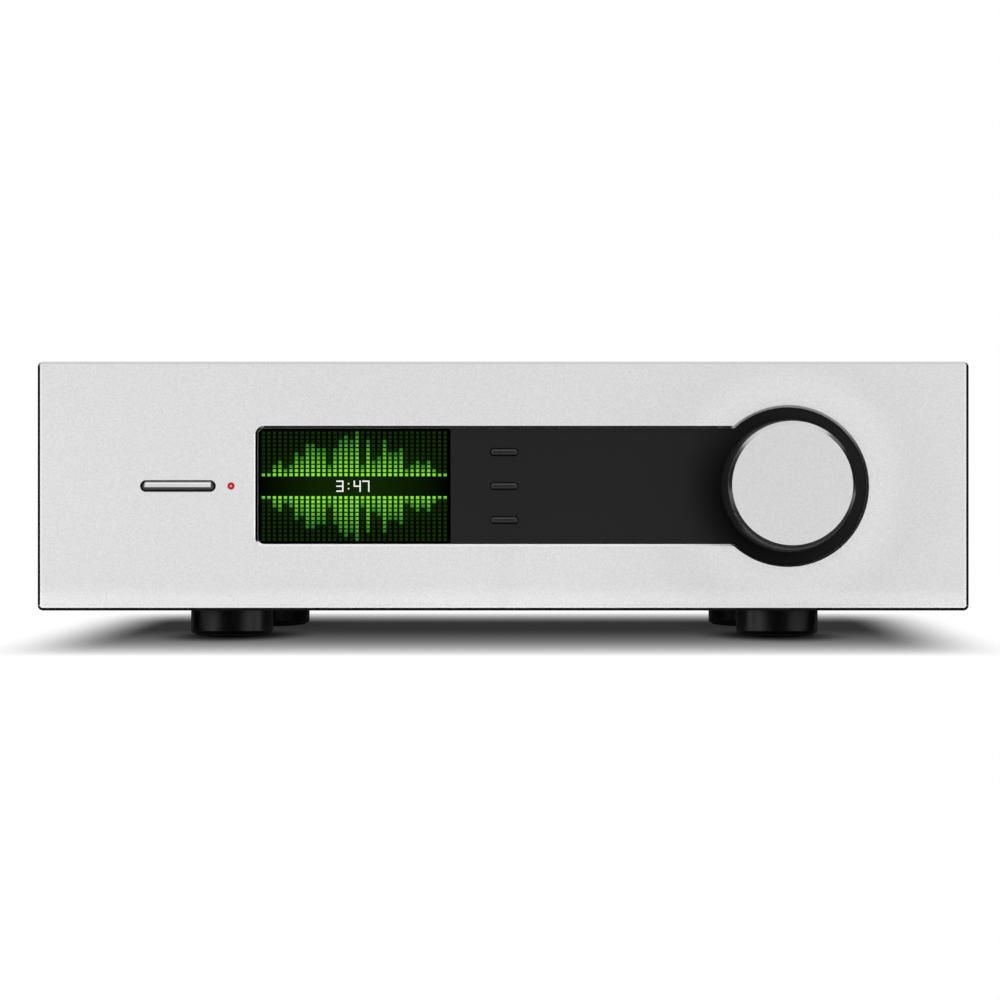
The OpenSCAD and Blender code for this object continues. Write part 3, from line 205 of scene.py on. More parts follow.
def blastedSilver(name, look, edgeRule, edges):
    look = {**blastLook, **look}
    finish = Finish(name)
    coords, _ = finish.place()
    grain = finish.noise(coords, 1 / (look["grainSize"] * mm), detail=3.0, rough=0.6)
    cloud = finish.noise(coords, look["cloudScale"])
    slope = abs(finish.normal()[1])
    cut = (slope > look["slopes"][0]) * (slope < look["slopes"][1])
    # The edge rule returns the cut faces and the painted light and shade of the edges
    cut, paintedEdgeTone = edgeRule(finish, cut, edges)
    grainTone = look["grainTone"] * (grain - 0.5) * (1 - cut)
    tone = look["silver"] * paintedEdgeTone * (1 + grainTone + look["cloudTone"] * (cloud - 0.5))
    rough = look["rough"] + look["cloudRough"] * (cloud - 0.5)
    finish.surface(
        Base_Color=finish.color(tone, tone, tone * look["blue"]),
        Metallic=look["metal"] + (1 - look["metal"]) * cut,
        Roughness=rough * (1 - cut) + look["cutRough"] * cut,
        Normal=finish.bump(grain * (1 - cut), look["grainDepth"] * mm, look["relief"]),
    )
    return finish


# Front panel: lengths in millimetres, tones as shares of the silver
panelLook = {"silver": 0.742, "grainSize": 0.7, "grainDepth": 0.006, "grainTone": 0.42, "rough": 0.62,
             "cutRough": 0.06}
# Edge tones are painted light and shade: brighter sill and arch, darker jamb, lintel and top rim, painted
# glints, a painted halo around the knob and a painted floor reflection low down
edgeLook = {"ring": 37.6, "arch": (0.2, 0.8), "archTone": 1.3, "sill": 1.32, "sillTurn": (0.2, 0.5),
            "jamb": 0.012, "lintel": 0.3, "sideTurn": (0.1, 0.4), "rim": 1.4, "rimTone": 0.84,
            "burnish": 0.6, "polish": 0.16, "jambX": -114.4, "jambHalf": 24.0, "jambPolish": 0.3,
            "halo": (36.0, 62.0), "haloTone": 0.2, "low": (1.5, 13.0), "lowTone": 0.17}


# The window's sill and arch are blasted too. Painted light and shade on the panel: the sill and arch
# painted brighter, the jamb, lintel and top rim painted darker, painted glints along the outer edges and
# beside the jamb, a painted halo of light around the knob and a painted floor reflection along the lower
# edge
def panelEdges(finish, cut, look):
    low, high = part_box("front_panel")
    axis = centre("knob_cap")
    _, (x, _, z) = finish.place()
    nx, _, nz = finish.normal()
    away = distance(x - axis.x, z - axis.z)
    inRing = away < look["ring"] * mm
    arch = inRing * ((z - axis.z) / away).ease(*look["arch"])
    top = z > high.z - look["rim"] * mm
    sill = nz.ease(*look["sillTurn"]) * (1 - inRing) * (1 - top)
    jamb = nx.ease(*look["sideTurn"]) * (x < 0) * (1 - sill) * (1 - inRing)
    lintel = (-1 * nz).ease(*look["sideTurn"]) * (z > axis.z) * (1 - jamb) * (1 - inRing)
    inset = (x - low.x).least(high.x - x).least(z - low.z)
    burnish = (inset > look["rim"] * mm) * (inset < (look["rim"] + look["burnish"]) * mm)
    beside = look["jambX"] * mm - x
    jambGlint = (beside > 0) * (beside < look["burnish"] * mm) * (abs(z - axis.z) < look["jambHalf"] * mm)
    halo = 1 - away.ease(look["halo"][0] * mm, look["halo"][1] * mm)
    paintedFloorReflection = 1 - (z - low.z).ease(look["low"][0] * mm, look["low"][1] * mm)
    # Painted light and shade on the chamfers: sill and arch brighter, jamb, lintel and top rim darker
    sides = [(sill, "sill"), (top, "rimTone"), (jamb, "jamb"), (lintel, "lintel"), (arch, "archTone")]
    tone = 1 + sum((look[side] - 1) * mask for mask, side in sides) * cut
    # Painted glints along the edges and beside the jamb, a painted halo of light around the knob, a painted
    # floor reflection along the lower edge
    paintedLight = [(burnish, "polish"), (jambGlint, "jambPolish"), (halo, "haloTone"), (paintedFloorReflection, "lowTone")]
    tone = tone + sum(look[line] * mask for mask, line in paintedLight) * (1 - cut)
    return cut * (1 - arch) * (1 - sill), tone


wear(blastedSilver("blastedSilver", panelLook, panelEdges, edgeLook), ["front_panel"])

# Knob cap: a little darker, with a polished bevel that carries painted light and shade
capLook = {"silver": 0.7, "grainSize": 0.6, "grainDepth": 0.005, "grainTone": 0.38, "rough": 0.6,
           "cutRough": 0.2}
bevelLook = {"crown": (0.25, 0.62), "top": 0.85, "turn": (0.05, 0.45), "left": 0.12, "right": 0.4,
             "low": (0.05, 0.35), "under": 0.25, "wall": 0.3, "wallTurn": 0.3, "wallLow": (0.5, 0.9)}


# Painted light and shade: the bevel is painted dark except along its top, darker on the left than on the
# right, and the cap's wall is painted dark underneath
def capEdges(finish, cut, look):
    nx, ny, nz = finish.normal()
    low = (-1 * nz).ease(*look["low"])
    side = look["left"] + (look["right"] - look["left"]) * nx.ease(*look["turn"]) * (1 - low)
    side = side * (1 - (1 - look["under"]) * low)
    tone = side + (look["top"] - side) * nz.ease(*look["crown"])
    wall = (abs(ny) < look["wallTurn"]) * (-1 * nz).ease(*look["wallLow"])
    return cut, 1 - cut * (1 - tone) - wall * (1 - look["wall"])


wear(blastedSilver("knobSilver", capLook, capEdges, bevelLook), ["knob_cap"])

# Power bar: silver drawn along its length, with painted shade around its ends and underside and a painted
# darker top
barLook = {"silver": 0.92, "rough": 0.4, "dark": 0.94, "crown": 0.3, "turn": (0.05, 0.34),
           "lines": (60, 2500, 2500), "plain": 0.97, "lineTone": 0.06, "lineRough": 0.08}


def drawnBar(look):
    finish = Finish("drawnSilver")
    coords, _ = finish.place()
    stretched = finish.node("Mapping", sockets={"Vector": coords, "Scale": look["lines"]})
    lines = finish.noise(stretched, 1.0)
    nx, _, nz = finish.normal()
    # Painted shade: the ends and underside are painted dark, the top a little darker
    under = (-1 * nz).most(abs(nx)).ease(*look["turn"])
    top = nz.ease(*look["turn"])
    tone = look["silver"] * (look["plain"] + look["lineTone"] * lines)
    tone = tone * (1 - look["dark"] * under) * (1 - look["crown"] * top)
    finish.surface(
        Base_Color=finish.color(tone, tone, tone),
        Metallic=1.0, Roughness=look["rough"] + look["lineRough"] * (lines - 0.5),
    )
    return finish


wear(drawnBar(barLook), ["power_button"])

# Painted, moulded and plated parts: fine texture over a plain tone, with patches of another tone
satinLook = {"grainSize": 0.3, "grainDepth": 0.004, "metal": 0.0, "tint": (1, 1, 1), "patches": None,
             "plain": 0.96, "smearScale": 25.0, "smearTone": 0.08, "grainTone": 0.1,
             "smearRough": 0.06, "grainRough": 0.04, "relief": 0.4}


def satin(name, look):
    look = {**satinLook, **look}
    finish = Finish(name)
    coords, _ = finish.place()
    grain = finish.noise(coords, 1 / (look["grainSize"] * mm), rough=0.55)
    smear = finish.noise(coords, look["smearScale"], detail=3.0, rough=0.55)
    level = look["plain"] + look["smearTone"] * smear + look["grainTone"] * (grain - 0.5)
    level = look["tone"] * level
    color = finish.color(*[level * share for share in look["tint"]])
    metal = look["metal"]
    for mask, patchColor, patchMetal in (look["patches"](finish) if look["patches"] else []):
        color = finish.mix(mask, color, (*patchColor, 1))
        metal = mask * patchMetal + (1 - mask) * metal
    finish.surface(
        Base_Color=color, Metallic=metal,
        Roughness=look["rough"] + look["smearRough"] * (smear - 0.5) + look["grainRough"] * (grain - 0.5),
        Specular_IOR_Level=look["specular"],
        Normal=finish.bump(grain, look["grainDepth"] * mm, look["relief"]),
    )
    return finish


# One satin finish per row, on the nodes that the row names
def dress(looks):
    made = {name: satin(name, look) for name, look in looks.items()}
    for name, look in looks.items():
        wear(made[name], look["on"])
    return made


white, black = (0.75, 0.75, 0.73), (0.012, 0.012, 0.012)
gold, nickel = (0.8, 0.57, 0.22), (0.6, 0.58, 0.55)

# The insert is in the knob's shade around it, deepest at its lower left
insertLook = {"shade": 0.85, "reach": (28.0, 52.0), "tone": (0.001, 0.001, 0.001)}
buttonHighlightLook = {"topTurn": (0.15, 0.5), "endTurn": (0.3, 0.7), "tone": (0.03, 0.03, 0.03)}
knobHighlightLook = {"turn": (0.6, 0.95), "tone": (0.014, 0.014, 0.014)}


def insertPatches(finish):
    x, _, z = finish.placeInMm()
    axis = centre("knob_cap") / mm
    away = distance(x - axis.x, z - axis.z)
    towards = (axis.x + axis.z - x - z) / away * math.sqrt(0.5)
    shade = insertLook["shade"] * (0.5 + 0.5 * towards) * (1 - away.ease(*insertLook["reach"]))
    return [(shade, insertLook["tone"], 1.0)]


# Painted highlights: the buttons' upper edges and ends are painted paler
def buttonHighlights(finish):
    nx, _, nz = finish.normal()
    paintedLight = nz.ease(*buttonHighlightLook["topTurn"]).most(abs(nx).ease(*buttonHighlightLook["endTurn"]))
    return [(paintedLight, buttonHighlightLook["tone"], 0.0)]


# Painted highlight: the knob's left side is painted paler
def knobLeftHighlight(finish):
    nx, _, _ = finish.normal()
    return [((-1 * nx).ease(*knobHighlightLook["turn"]), knobHighlightLook["tone"], 0.0)]


footNodes = ["foot_front_left", "foot_front_right", "foot_rear_left", "foot_rear_right"]
plain = dress({
    "insertBlack": {"tone": 0.0045, "rough": 0.46, "specular": 0.25, "patches": insertPatches,
                    "on": ["fascia_insert"]},
    "buttonBlack": {"tone": 0.004, "rough": 0.22, "specular": 0.3, "grainSize": 0.6, "grainDepth": 0.001,
                    "patches": buttonHighlights, "on": ["upper_button", "middle_button", "lower_button"]},
    "knobBlack": {"tone": 0.005, "rough": 0.32, "specular": 0.3, "patches": knobLeftHighlight,
                  "on": ["knob_body"]},
    "footBlack": {"tone": 0.001, "rough": 0.34, "specular": 0.5, "grainSize": 0.5, "grainDepth": 0.003,
                  "on": footNodes},
    "padRubber": {"tone": 0.012, "rough": 0.75, "specular": 0.3, "grainSize": 0.25, "grainDepth": 0.01,
                  "on": ["foot_pads", "transformer_pads"]},
    "coverPaint": {"tone": 0.5, "rough": 0.42, "specular": 0.4, "grainSize": 0.5, "grainDepth": 0.02,
                   "on": ["top_cover"]},
    "chassisPaint": {"tone": 0.02, "rough": 0.48, "specular": 0.4, "grainSize": 0.5, "grainDepth": 0.02,
                     "on": ["chassis_base", "rear_panel"]},
    "screwSteel": {"tone": 0.12, "rough": 0.35, "specular": 0.5, "grainSize": 0.4, "grainDepth": 0.002,
                   "metal": 1.0, "on": ["front_panel_screws", "insert_screws", "board_screws",
                                        "foot_screws", "knob_set_screw"]},
    "brightSteel": {"tone": 0.55, "rough": 0.32, "specular": 0.5, "grainSize": 0.5, "grainDepth": 0.002,
                    "metal": 1.0, "on": ["encoder_shaft", "encoder_nut", "transformer_clamp",
                                         "transformer_bolt", "streaming_module"]},
    "goldPlate": {"tone": 0.8, "rough": 0.25, "specular": 0.5, "grainSize": 0.5, "grainDepth": 0.002,
                  "metal": 1.0, "tint": (1.0, 0.73, 0.3), "on": ["board_spacers"]},
    "mouldedBlack": {"tone": 0.014, "rough": 0.45, "specular": 0.4, "grainSize": 0.4, "grainDepth": 0.006,
                     "on": ["upper_plunger", "middle_plunger", "lower_plunger", "power_plunger",
                            "button_switches", "encoder_body", "mainboard_components", "regulators",
                            "mains_switch", "trigger_jack"]},
    "sinkBlack": {"tone": 0.03, "rough": 0.45, "specular": 0.5, "grainSize": 0.4, "grainDepth": 0.004,
                  "metal": 0.6, "on": ["heat_sink"]},
})

# Sockets: coloured eyes, plated pins and dark wells, by their places on the rear panel in millimetres
rearFace = 182.5
phonoLook = {"z": 36.7, "x": (-11.7, 8.3, 36.3), "eyeR": 3.4, "eyeFrom": 0.5,
             "eyes": ((0.5, 0.02, 0.02), white, (0.02, 0.02, 0.02))}
balancedLook = {"z": 89.1, "x": (-5.7, 38.3), "wellR": 8.15, "wellTo": 1.2,
                "pinRing": 4.0, "pinAngles": (90, 210, 330), "pinR": 1.35, "pinFrom": -13.5}
inletLook = {"at": (-173.3, 53.1), "pins": ((-7, -2), (7, -2), (0, 2)), "pin": (1.2, 2.2), "pinFrom": -14.5}
rockerLook = {"x": -131.3, "z": 53.1, "mark": 4.6, "ring": 1.5, "stroke": 0.4, "markFrom": -2.0}
ethernetLook = {"at": (116.3, 34.3), "well": (5.95, 4.05), "faceFrom": 0.5, "lampAt": (5.6, 39.8),
                "lamp": (1.5, 0.8), "green": (0.1, 0.35, 0.08), "amber": (0.5, 0.26, 0.03)}
usbLook = {"at": (86.3, 31.75), "tongue": (5.6, 1.05), "tone": (0.02, 0.02, 0.022)}


def phonoPatches(finish):
    x, y, z = finish.placeInMm()
    outer = y > rearFace + phonoLook["eyeFrom"]
    return [(inDisc(x, z, (at, phonoLook["z"]), phonoLook["eyeR"]) * outer, color, 0.0)
            for at, color in zip(phonoLook["x"], phonoLook["eyes"])]


def balancedPatches(finish):
    look = balancedLook
    x, y, z = finish.placeInMm()
    patches = []
    for at in look["x"]:
        well = inDisc(x, z, (at, look["z"]), look["wellR"]) * (y < rearFace + look["wellTo"])
        patches.append((well, black, 0.0))
        for angle in look["pinAngles"]:
            turn = math.radians(angle)
            pin = (at + look["pinRing"] * math.cos(turn), look["z"] + look["pinRing"] * math.sin(turn))
            onPin = inDisc(x, z, pin, look["pinR"]) * (y > rearFace + look["pinFrom"])
            patches.append((onPin, gold, 1.0))
    return patches


def inletPatches(finish):
    x, y, z = finish.placeInMm()
    atX, atZ = inletLook["at"]
    outer = y > rearFace + inletLook["pinFrom"]
    return [(inBox(x, z, (atX + pinX, atZ + pinZ), *inletLook["pin"]) * outer, nickel, 1.0)
            for pinX, pinZ in inletLook["pins"]]


def rockerPatches(finish):
    look = rockerLook
    x, y, z = finish.placeInMm()
    high = (look["x"], look["z"] + look["mark"])
    low = (look["x"], look["z"] - look["mark"])
    stroke = inBox(x, z, high, look["stroke"] / 2, look["ring"])
    ring = inDisc(x, z, low, look["ring"]) * (1 - inDisc(x, z, low, look["ring"] - look["stroke"]))
    return [((stroke + ring) * (y > rearFace + look["markFrom"]), white, 0.0)]


def ethernetPatches(finish):
    look = ethernetLook
    x, y, z = finish.placeInMm()
    face = y > rearFace + look["faceFrom"]
    patches = [(inBox(x, z, look["at"], *look["well"]) * (1 - face), black, 0.0)]
    off, lampZ = look["lampAt"]
    for lampX, color in ((look["at"][0] - off, look["green"]), (look["at"][0] + off, look["amber"])):
        patches.append((inBox(x, z, (lampX, lampZ), *look["lamp"]) * face, color, 0.0))
    return patches


def usbPatches(finish):
    x, y, z = finish.placeInMm()
    return [(inBox(x, z, usbLook["at"], *usbLook["tongue"]) * (y < rearFace), usbLook["tone"], 0.0)]


dress({
    "phonoGold": {"tone": 0.8, "rough": 0.25, "specular": 0.5, "grainSize": 0.5, "grainDepth": 0.002,
                  "metal": 1.0, "tint": (1.0, 0.73, 0.3), "patches": phonoPatches,
                  "on": ["phono_outputs"]},
    "balancedNickel": {"tone": 0.35, "rough": 0.34, "specular": 0.5, "grainSize": 0.5,
                       "grainDepth": 0.002, "metal": 1.0, "patches": balancedPatches,
                       "on": ["balanced_outputs"]},
    "inletBlack": {"tone": 0.014, "rough": 0.42, "specular": 0.4, "grainSize": 0.4, "grainDepth": 0.006,
                   "patches": inletPatches, "on": ["mains_inlet"]},
    "rockerBlack": {"tone": 0.012, "rough": 0.3, "specular": 0.5, "grainSize": 0.5, "grainDepth": 0.002,
                    "patches": rockerPatches, "on": ["power_rocker"]},
    "shieldSteel": {"tone": 0.55, "rough": 0.32, "specular": 0.5, "grainSize": 0.5, "grainDepth": 0.002,
                    "metal": 1.0, "patches": ethernetPatches, "on": ["ethernet_jack"]},
    "usbSteel": {"tone": 0.55, "rough": 0.32, "specular": 0.5, "grainSize": 0.5, "grainDepth": 0.002,
                 "metal": 1.0, "patches": usbPatches, "on": ["usb_jack"]},
})

# Inside: boards with copper runs, sleeved capacitors, taped winding, ribbons with their conductors
boardLook = {"spread": 0.09, "pitch": 2.4, "halfWide": 0.16, "runs": (0.8, 12), "crossings": (0.5, 9),
             "runsOver": 0.52, "crossingsUnder": 0.46, "tone": (0.03, 0.2, 0.07)}
canLook = {"lidTurn": 0.8, "tone": (0.6, 0.6, 0.62)}
windingLook = {"at": (-135.3, -32.5), "turns": 150, "gap": 0.75, "share": 0.6, "tone": (0.2, 0.09, 0.02)}
ribbonLook = {"pitch": 1.27, "halfWide": 0.12, "share": 0.6, "tone": (0.2, 0.2, 0.2)}


def boardPatches(finish):
    look = boardLook
    x, y, z = finish.placeInMm()
    spread = finish.noise(finish.node("CombineXYZ", sockets={0: x, 1: y, 2: z}), look["spread"])
    lanes = []
    for across, (jog, steps) in ((x, look["runs"]), (y, look["crossings"])):
        shifted = across / look["pitch"] + jog * (spread * steps).floor()
        lanes.append(abs(shifted.fract() - 0.5) < look["halfWide"])
    copper = lanes[0] * (spread > look["runsOver"]) + lanes[1] * (spread < look["crossingsUnder"])
    return [(copper, look["tone"], 0.0)]


def canPatches(finish):
    return [(abs(finish.normal()[2]) > canLook["lidTurn"], canLook["tone"], 1.0)]


def windingPatches(finish):
    look = windingLook
    x, y, _ = finish.placeInMm()
    angle = (y - look["at"][1]).angle(x - look["at"][0])
    return [(((angle * look["turns"]).sin() > look["gap"]) * look["share"], look["tone"], 0.0)]


def ribbonPatches(finish):
    look = ribbonLook
    x, _, _ = finish.placeInMm()
    conductor = abs((x / look["pitch"]).fract() - 0.5) < look["halfWide"]
    return [(conductor * look["share"], look["tone"], 0.0)]


dress({
    "boardGreen": {"tone": 0.10, "rough": 0.4, "specular": 0.5, "grainSize": 0.8, "grainDepth": 0.01,
                   "tint": (0.12, 1.0, 0.35), "patches": boardPatches,
                   "on": ["control_board", "standby_board", "mainboard", "supply_board"]},
    "sleeveBlue": {"tone": 0.09, "rough": 0.3, "specular": 0.5, "grainSize": 0.6, "grainDepth": 0.002,
                   "tint": (0.25, 0.45, 1.0), "patches": canPatches, "on": ["smoothing_capacitors"]},
    "windingTape": {"tone": 0.5, "rough": 0.3, "specular": 0.5, "grainSize": 1.2, "grainDepth": 0.03,
                    "tint": (1.0, 0.62, 0.12), "patches": windingPatches, "on": ["transformer"]},
    "ribbonGrey": {"tone": 0.5, "rough": 0.5, "specular": 0.4, "grainSize": 0.6, "grainDepth": 0.01,
                   "patches": ribbonPatches, "on": ["display_ribbon", "supply_ribbon"]},
})
print("case and knob finishes set")

# Display: green level bars on both sides of a dark band with the running time in it
displayLook = {"bars": 34, "unlit": 0.03, "barShare": 0.58, "blocks": 11, "blockShare": 0.7, "band": 0.17,
               "level": 0.42, "waves": ((0.16, 0.9, 0.0), (0.14, 2.3, 1.0)), "chance": 0.5,
               "haze": 0.02, "hazeReach": (0.0, 0.8), "black": 0.001,
               "lime": (0.27, 0.86, 0.045, 1), "deep": (0.009, 0.18, 0.014, 1), "time": "3:47",
               "digitHigh": 4.6, "digitWide": 2.7, "digitStep": 4.0, "stroke": 0.62, "digitTone": 0.92}
segments = {  # each digit's strokes: left, low, wide, high on a one by two grid
    "3": [(0, 0, 1, 0), (0, 1, 1, 0), (0, 2, 1, 0), (1, 0, 0, 2)],
    "4": [(0, 1, 1, 0), (1, 0, 0, 2), (0, 1, 0, 1)],
    "7": [(0, 2, 1, 0), (1, 0, 0, 2)],
    ":": [(0.5, 0.5, 0, 0), (0.5, 1.5, 0, 0)],
}


# Running time in plain strokes
def timeStrokes(x, z, middle, look):
    strokes = 0.0
    left = middle.x - look["digitStep"] * mm * len(look["time"]) / 2
    for i, digit in enumerate(look["time"]):
        for gx, gz, w, h in segments[digit]:
            halfW = (w * look["digitWide"] + look["stroke"]) / 2 * mm
            halfH = (h * look["digitHigh"] / 2 + look["stroke"]) / 2 * mm
            midX = left + (i * look["digitStep"] + (gx + w / 2) * look["digitWide"]) * mm
            midZ = middle.z + ((gz + h / 2) / 2 - 0.5) * look["digitHigh"] * mm
            strokes = inBox(x, z, (midX, midZ), halfW, halfH).most(strokes)
    return strokes


def displayGlow(look):
    low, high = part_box("display_module")
    middle = (low + high) / 2
    size = high - low
    finish = Finish("displayGlow")
    _, (x, _, z) = finish.place()
    across = (x - low.x) / size.x
    up = abs(z - middle.z) / (size.z / 2)
    count = across * look["bars"]
    bar = count.floor()
    chance = finish.node("TexWhiteNoise", {"noise_dimensions": "1D"}, {"W": bar})
    level = look["level"]
    for wave, rate, phase in look["waves"]:
        level = level + wave * (bar * rate + phase).sin()
    swell = ((bar + 0.5) / look["bars"] * math.pi).sin()
    height = swell * (level + look["chance"] * chance)
    height = ((height * look["blocks"]).floor() + 1) / look["blocks"]
    reach = (up - look["band"]) / (1 - look["band"])
    inBar = (abs(count.fract() - 0.5) < look["barShare"] / 2) * (reach > 0)
    inBlock = inBar * (abs((reach * look["blocks"]).fract() - 0.5) < look["blockShare"] / 2)
    fade = (reach / height).least(1.0)
    haze = look["haze"] * (across * math.pi).sin() * (1 - reach.ease(*look["hazeReach"])) + look["black"]
    color = finish.mix((haze + look["unlit"] * inBlock).least(1.0), grey(0.0), look["lime"])
    color = finish.mix(inBlock * (reach < height), color, finish.mix(fade, look["lime"], look["deep"]))
    color = finish.mix(timeStrokes(x, z, middle, look), color, grey(look["digitTone"]))
    finish.surface(Base_Color=grey(0.004), Roughness=0.25, Specular_IOR_Level=0.3,
                   Emission_Color=color, Emission_Strength=1.0)
    return finish


wear(displayGlow(displayLook), ["display_module"])

# Display lens: a low index keeps the surround out of the display
lensLook = {"clear": 0.96, "index": 1.05, "specular": 0.2, "rough": 0.004, "dustScale": 60.0, "dust": 0.006}


def lensGlass(look):
    finish = Finish("lensGlass")
    coords, _ = finish.place()
    dust = finish.noise(coords, look["dustScale"], detail=3.0, rough=0.6)
    finish.surface(Base_Color=grey(look["clear"]), Roughness=look["rough"] + look["dust"] * dust,
                   IOR=look["index"], Transmission_Weight=1.0, Specular_IOR_Level=look["specular"])
    return finish


wear(lensGlass(lensLook), ["display_lens"])

# Standby light: lit red, paler in its middle
lampLook = {"rim": (0.47, 0.0, 0.02, 1), "heart": (1.0, 0.3, 0.3, 1), "heartEdge": (0.24, 0.78)}


def standbyRed(look):
    middle = centre("standby_lens")
    finish = Finish("standbyRed")
    _, (x, _, z) = finish.place()
    away = distance(x - middle.x, z - middle.z) / mm
    color = finish.mix(1 - away.ease(*look["heartEdge"]), look["rim"], look["heart"])
    finish.surface(Base_Color=grey(0.01), Roughness=0.3, Specular_IOR_Level=0.1,
                   Emission_Color=color, Emission_Strength=1.0)
    return finish


wear(standbyRed(lampLook), ["standby_lens", "standby_led"])
print("display and light finished")


# Modelled pieces: shaped at the origin with the axis up, then turned and set in place in the mesh
def clearSelection():
    if bpy.context.object and bpy.context.object.mode != "OBJECT":
        bpy.ops.object.mode_set(mode="OBJECT")
    bpy.ops.object.select_all(action="DESELECT")


def editAll():
    bpy.ops.object.mode_set(mode="EDIT")
    bpy.ops.mesh.select_all(action="SELECT")


def closeEdit():
    bpy.ops.mesh.select_all(action="SELECT")
    bpy.ops.mesh.normals_make_consistent(inside=False)
    bpy.ops.object.mode_set(mode="OBJECT")


# A turned form: a disc, extruded and resized along its profile of radius and height
def lathe(name, profile, sides=40):
    clearSelection()
    r, h = profile[0]
    bpy.ops.mesh.primitive_circle_add(vertices=sides, radius=r * mm, fill_type="NGON",
                                      location=(0, 0, h * mm))
    piece = bpy.context.object
    piece.name = name
    bpy.ops.object.transform_apply(location=True, rotation=False, scale=False)
    editAll()
    for nextR, nextH in profile[1:]:
        bpy.ops.mesh.extrude_region_move(TRANSFORM_OT_translate={"value": (0, 0, (nextH - h) * mm)})
        bpy.ops.transform.resize(value=(nextR / r, nextR / r, 1))
        r, h = nextR, nextH
    closeEdit()
    return piece


# A cross driven into the top of a head
def crossRecess(piece, reach, width, deep, top):
    clearSelection()
    bpy.ops.mesh.primitive_cube_add(size=1)
    cutter = bpy.context.object
    editAll()
    bpy.ops.transform.resize(value=(reach * mm, width * mm, 2 * deep * mm))
    bpy.ops.mesh.duplicate()
    bpy.ops.transform.rotate(value=math.pi / 2, orient_axis="Z", center_override=(0, 0, 0))
    bpy.ops.mesh.select_all(action="SELECT")
    bpy.ops.transform.translate(value=(0, 0, top * mm))
    bpy.ops.object.mode_set(mode="OBJECT")
    clearSelection()
    bpy.context.view_layer.objects.active = piece
    piece.select_set(True)
    recess = piece.modifiers.new("recess", "BOOLEAN")
    recess.object = cutter
    recess.use_self = True
    bpy.ops.object.modifier_apply(modifier="recess")
    bpy.data.objects.remove(cutter)


smoothAngle = math.radians(32)


# Copies of a piece at its places, joined into one that rides on a body
def setOut(name, made, finish, body="case", stands=()):
    copies = []
    for piece, places in made:
        for matrix in places:
            copy = piece.copy()
            copy.data = piece.data.copy()
            copy.data.transform(matrix)
            bpy.context.scene.collection.objects.link(copy)
            copies.append(copy)
        bpy.data.objects.remove(piece)
    clearSelection()
    for copy in copies:
        copy.select_set(True)
    bpy.context.view_layer.objects.active = copies[0]
    bpy.ops.object.join()
    whole = bpy.context.object
    whole.name = name
    bpy.ops.object.shade_smooth_by_angle(angle=smoothAngle)
    whole.data.materials.clear()
    whole.data.materials.append(finish.owner)
    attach(whole, body)
    if stands:
        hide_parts(*stands)


def facing(axis, x, y, z):
    turns = {"+x": Matrix.Rotation(math.pi / 2, 4, "Y"), "-x": Matrix.Rotation(-math.pi / 2, 4, "Y"),
             "+y": Matrix.Rotation(-math.pi / 2, 4, "X")}
    return Matrix.Translation((x * mm, y * mm, z * mm)) @ turns[axis]


# Pan-head screws with a cross recess, in the cover's sides and the rear panel
screwLook = {"shankR": 1.9, "headH": 1.6, "cross": (3.4, 0.9, 1.0),
             "head": ((1, 0), (1, 0.3), (0.95, 0.6), (0.8, 0.85), (0.55, 1))}  # shares of radius, height
coverScrewLook = {"headR": 3.6, "shankL": 4.0, "side": 213.0,
                  "places": ((-101.0, 21.6), (126.0, 21.6), (174.0, 91.1))}
rearScrewLook = {"headR": 3.6, "shankL": 5.0, "x": (-191.3, -95.65, 0.0, 95.65, 191.3), "z": 20.6}
socketScrewLook = {"headR": 3.0, "shankL": 5.0, "off": (9.5, 12.0), "plate": 2.0}


def panScrew(name, size, look):
    profile = [(look["shankR"], -size["shankL"]), (look["shankR"], 0)]
    profile += [(r * size["headR"], h * look["headH"]) for r, h in look["head"]]
    screw = lathe(name, profile)
    crossRecess(screw, *look["cross"], look["headH"])
    return screw


def coverScrews(look):
    places = [facing(axis, side * look["side"], y, z)
              for side, axis in ((-1, "-x"), (1, "+x")) for y, z in look["places"]]
    made = [(panScrew("coverScrew", look, screwLook), places)]
    setOut("coverScrewHeads", made, plain["screwSteel"], "case", ["cover_screws"])


def rearScrews(edge, socket):
    edgePlaces = [facing("+y", x, rearFace, edge["z"]) for x in edge["x"]]
    offX, offZ = socket["off"]
    socketPlaces = [facing("+y", at + s * offX, rearFace + socket["plate"], balancedLook["z"] + s * offZ)
                    for at in balancedLook["x"] for s in (-1, 1)]
    made = [(panScrew("rearScrew", edge, screwLook), edgePlaces),
            (panScrew("socketScrew", socket, screwLook), socketPlaces)]
    setOut("rearScrewHeads", made, plain["screwSteel"], "case", ["rear_panel_screws"])


coverScrews(coverScrewLook)
rearScrews(rearScrewLook, socketScrewLook)

# Antenna sockets: threaded barrel with its pin, white core and hexagon nut, profiles as radius and height
antennaLook = {"x": (94.3, 178.3), "z": 103.1, "r": 3.1, "reach": 11.0, "lip": 0.3,
               "tailR": 5.0, "tail": (-7.5, -1.5), "boreR": 2.2, "boreFrom": 8.5, "thread": 3.0,
               "turns": 8, "pitch": 0.9, "threadDeep": 0.35, "threadStops": (0.25, 0.4, 0.65, 0.9),
               "pin": ((0.6, 5.0), (0.6, 10.4), (0.35, 10.7), (0.3, 9.6)), "pinSides": 20,
               "nut": ((4.5, 0.02), (5.0, 0.4), (5.0, 2.0), (4.5, 2.4)), "nutSides": 6,
               "core": ((2.15, 8.6), (2.15, 9.2), (0.7, 9.2), (0.7, 8.9)), "coreSides": 32}
coreLook = {"tone": 0.7, "rough": 0.5, "specular": 0.4}


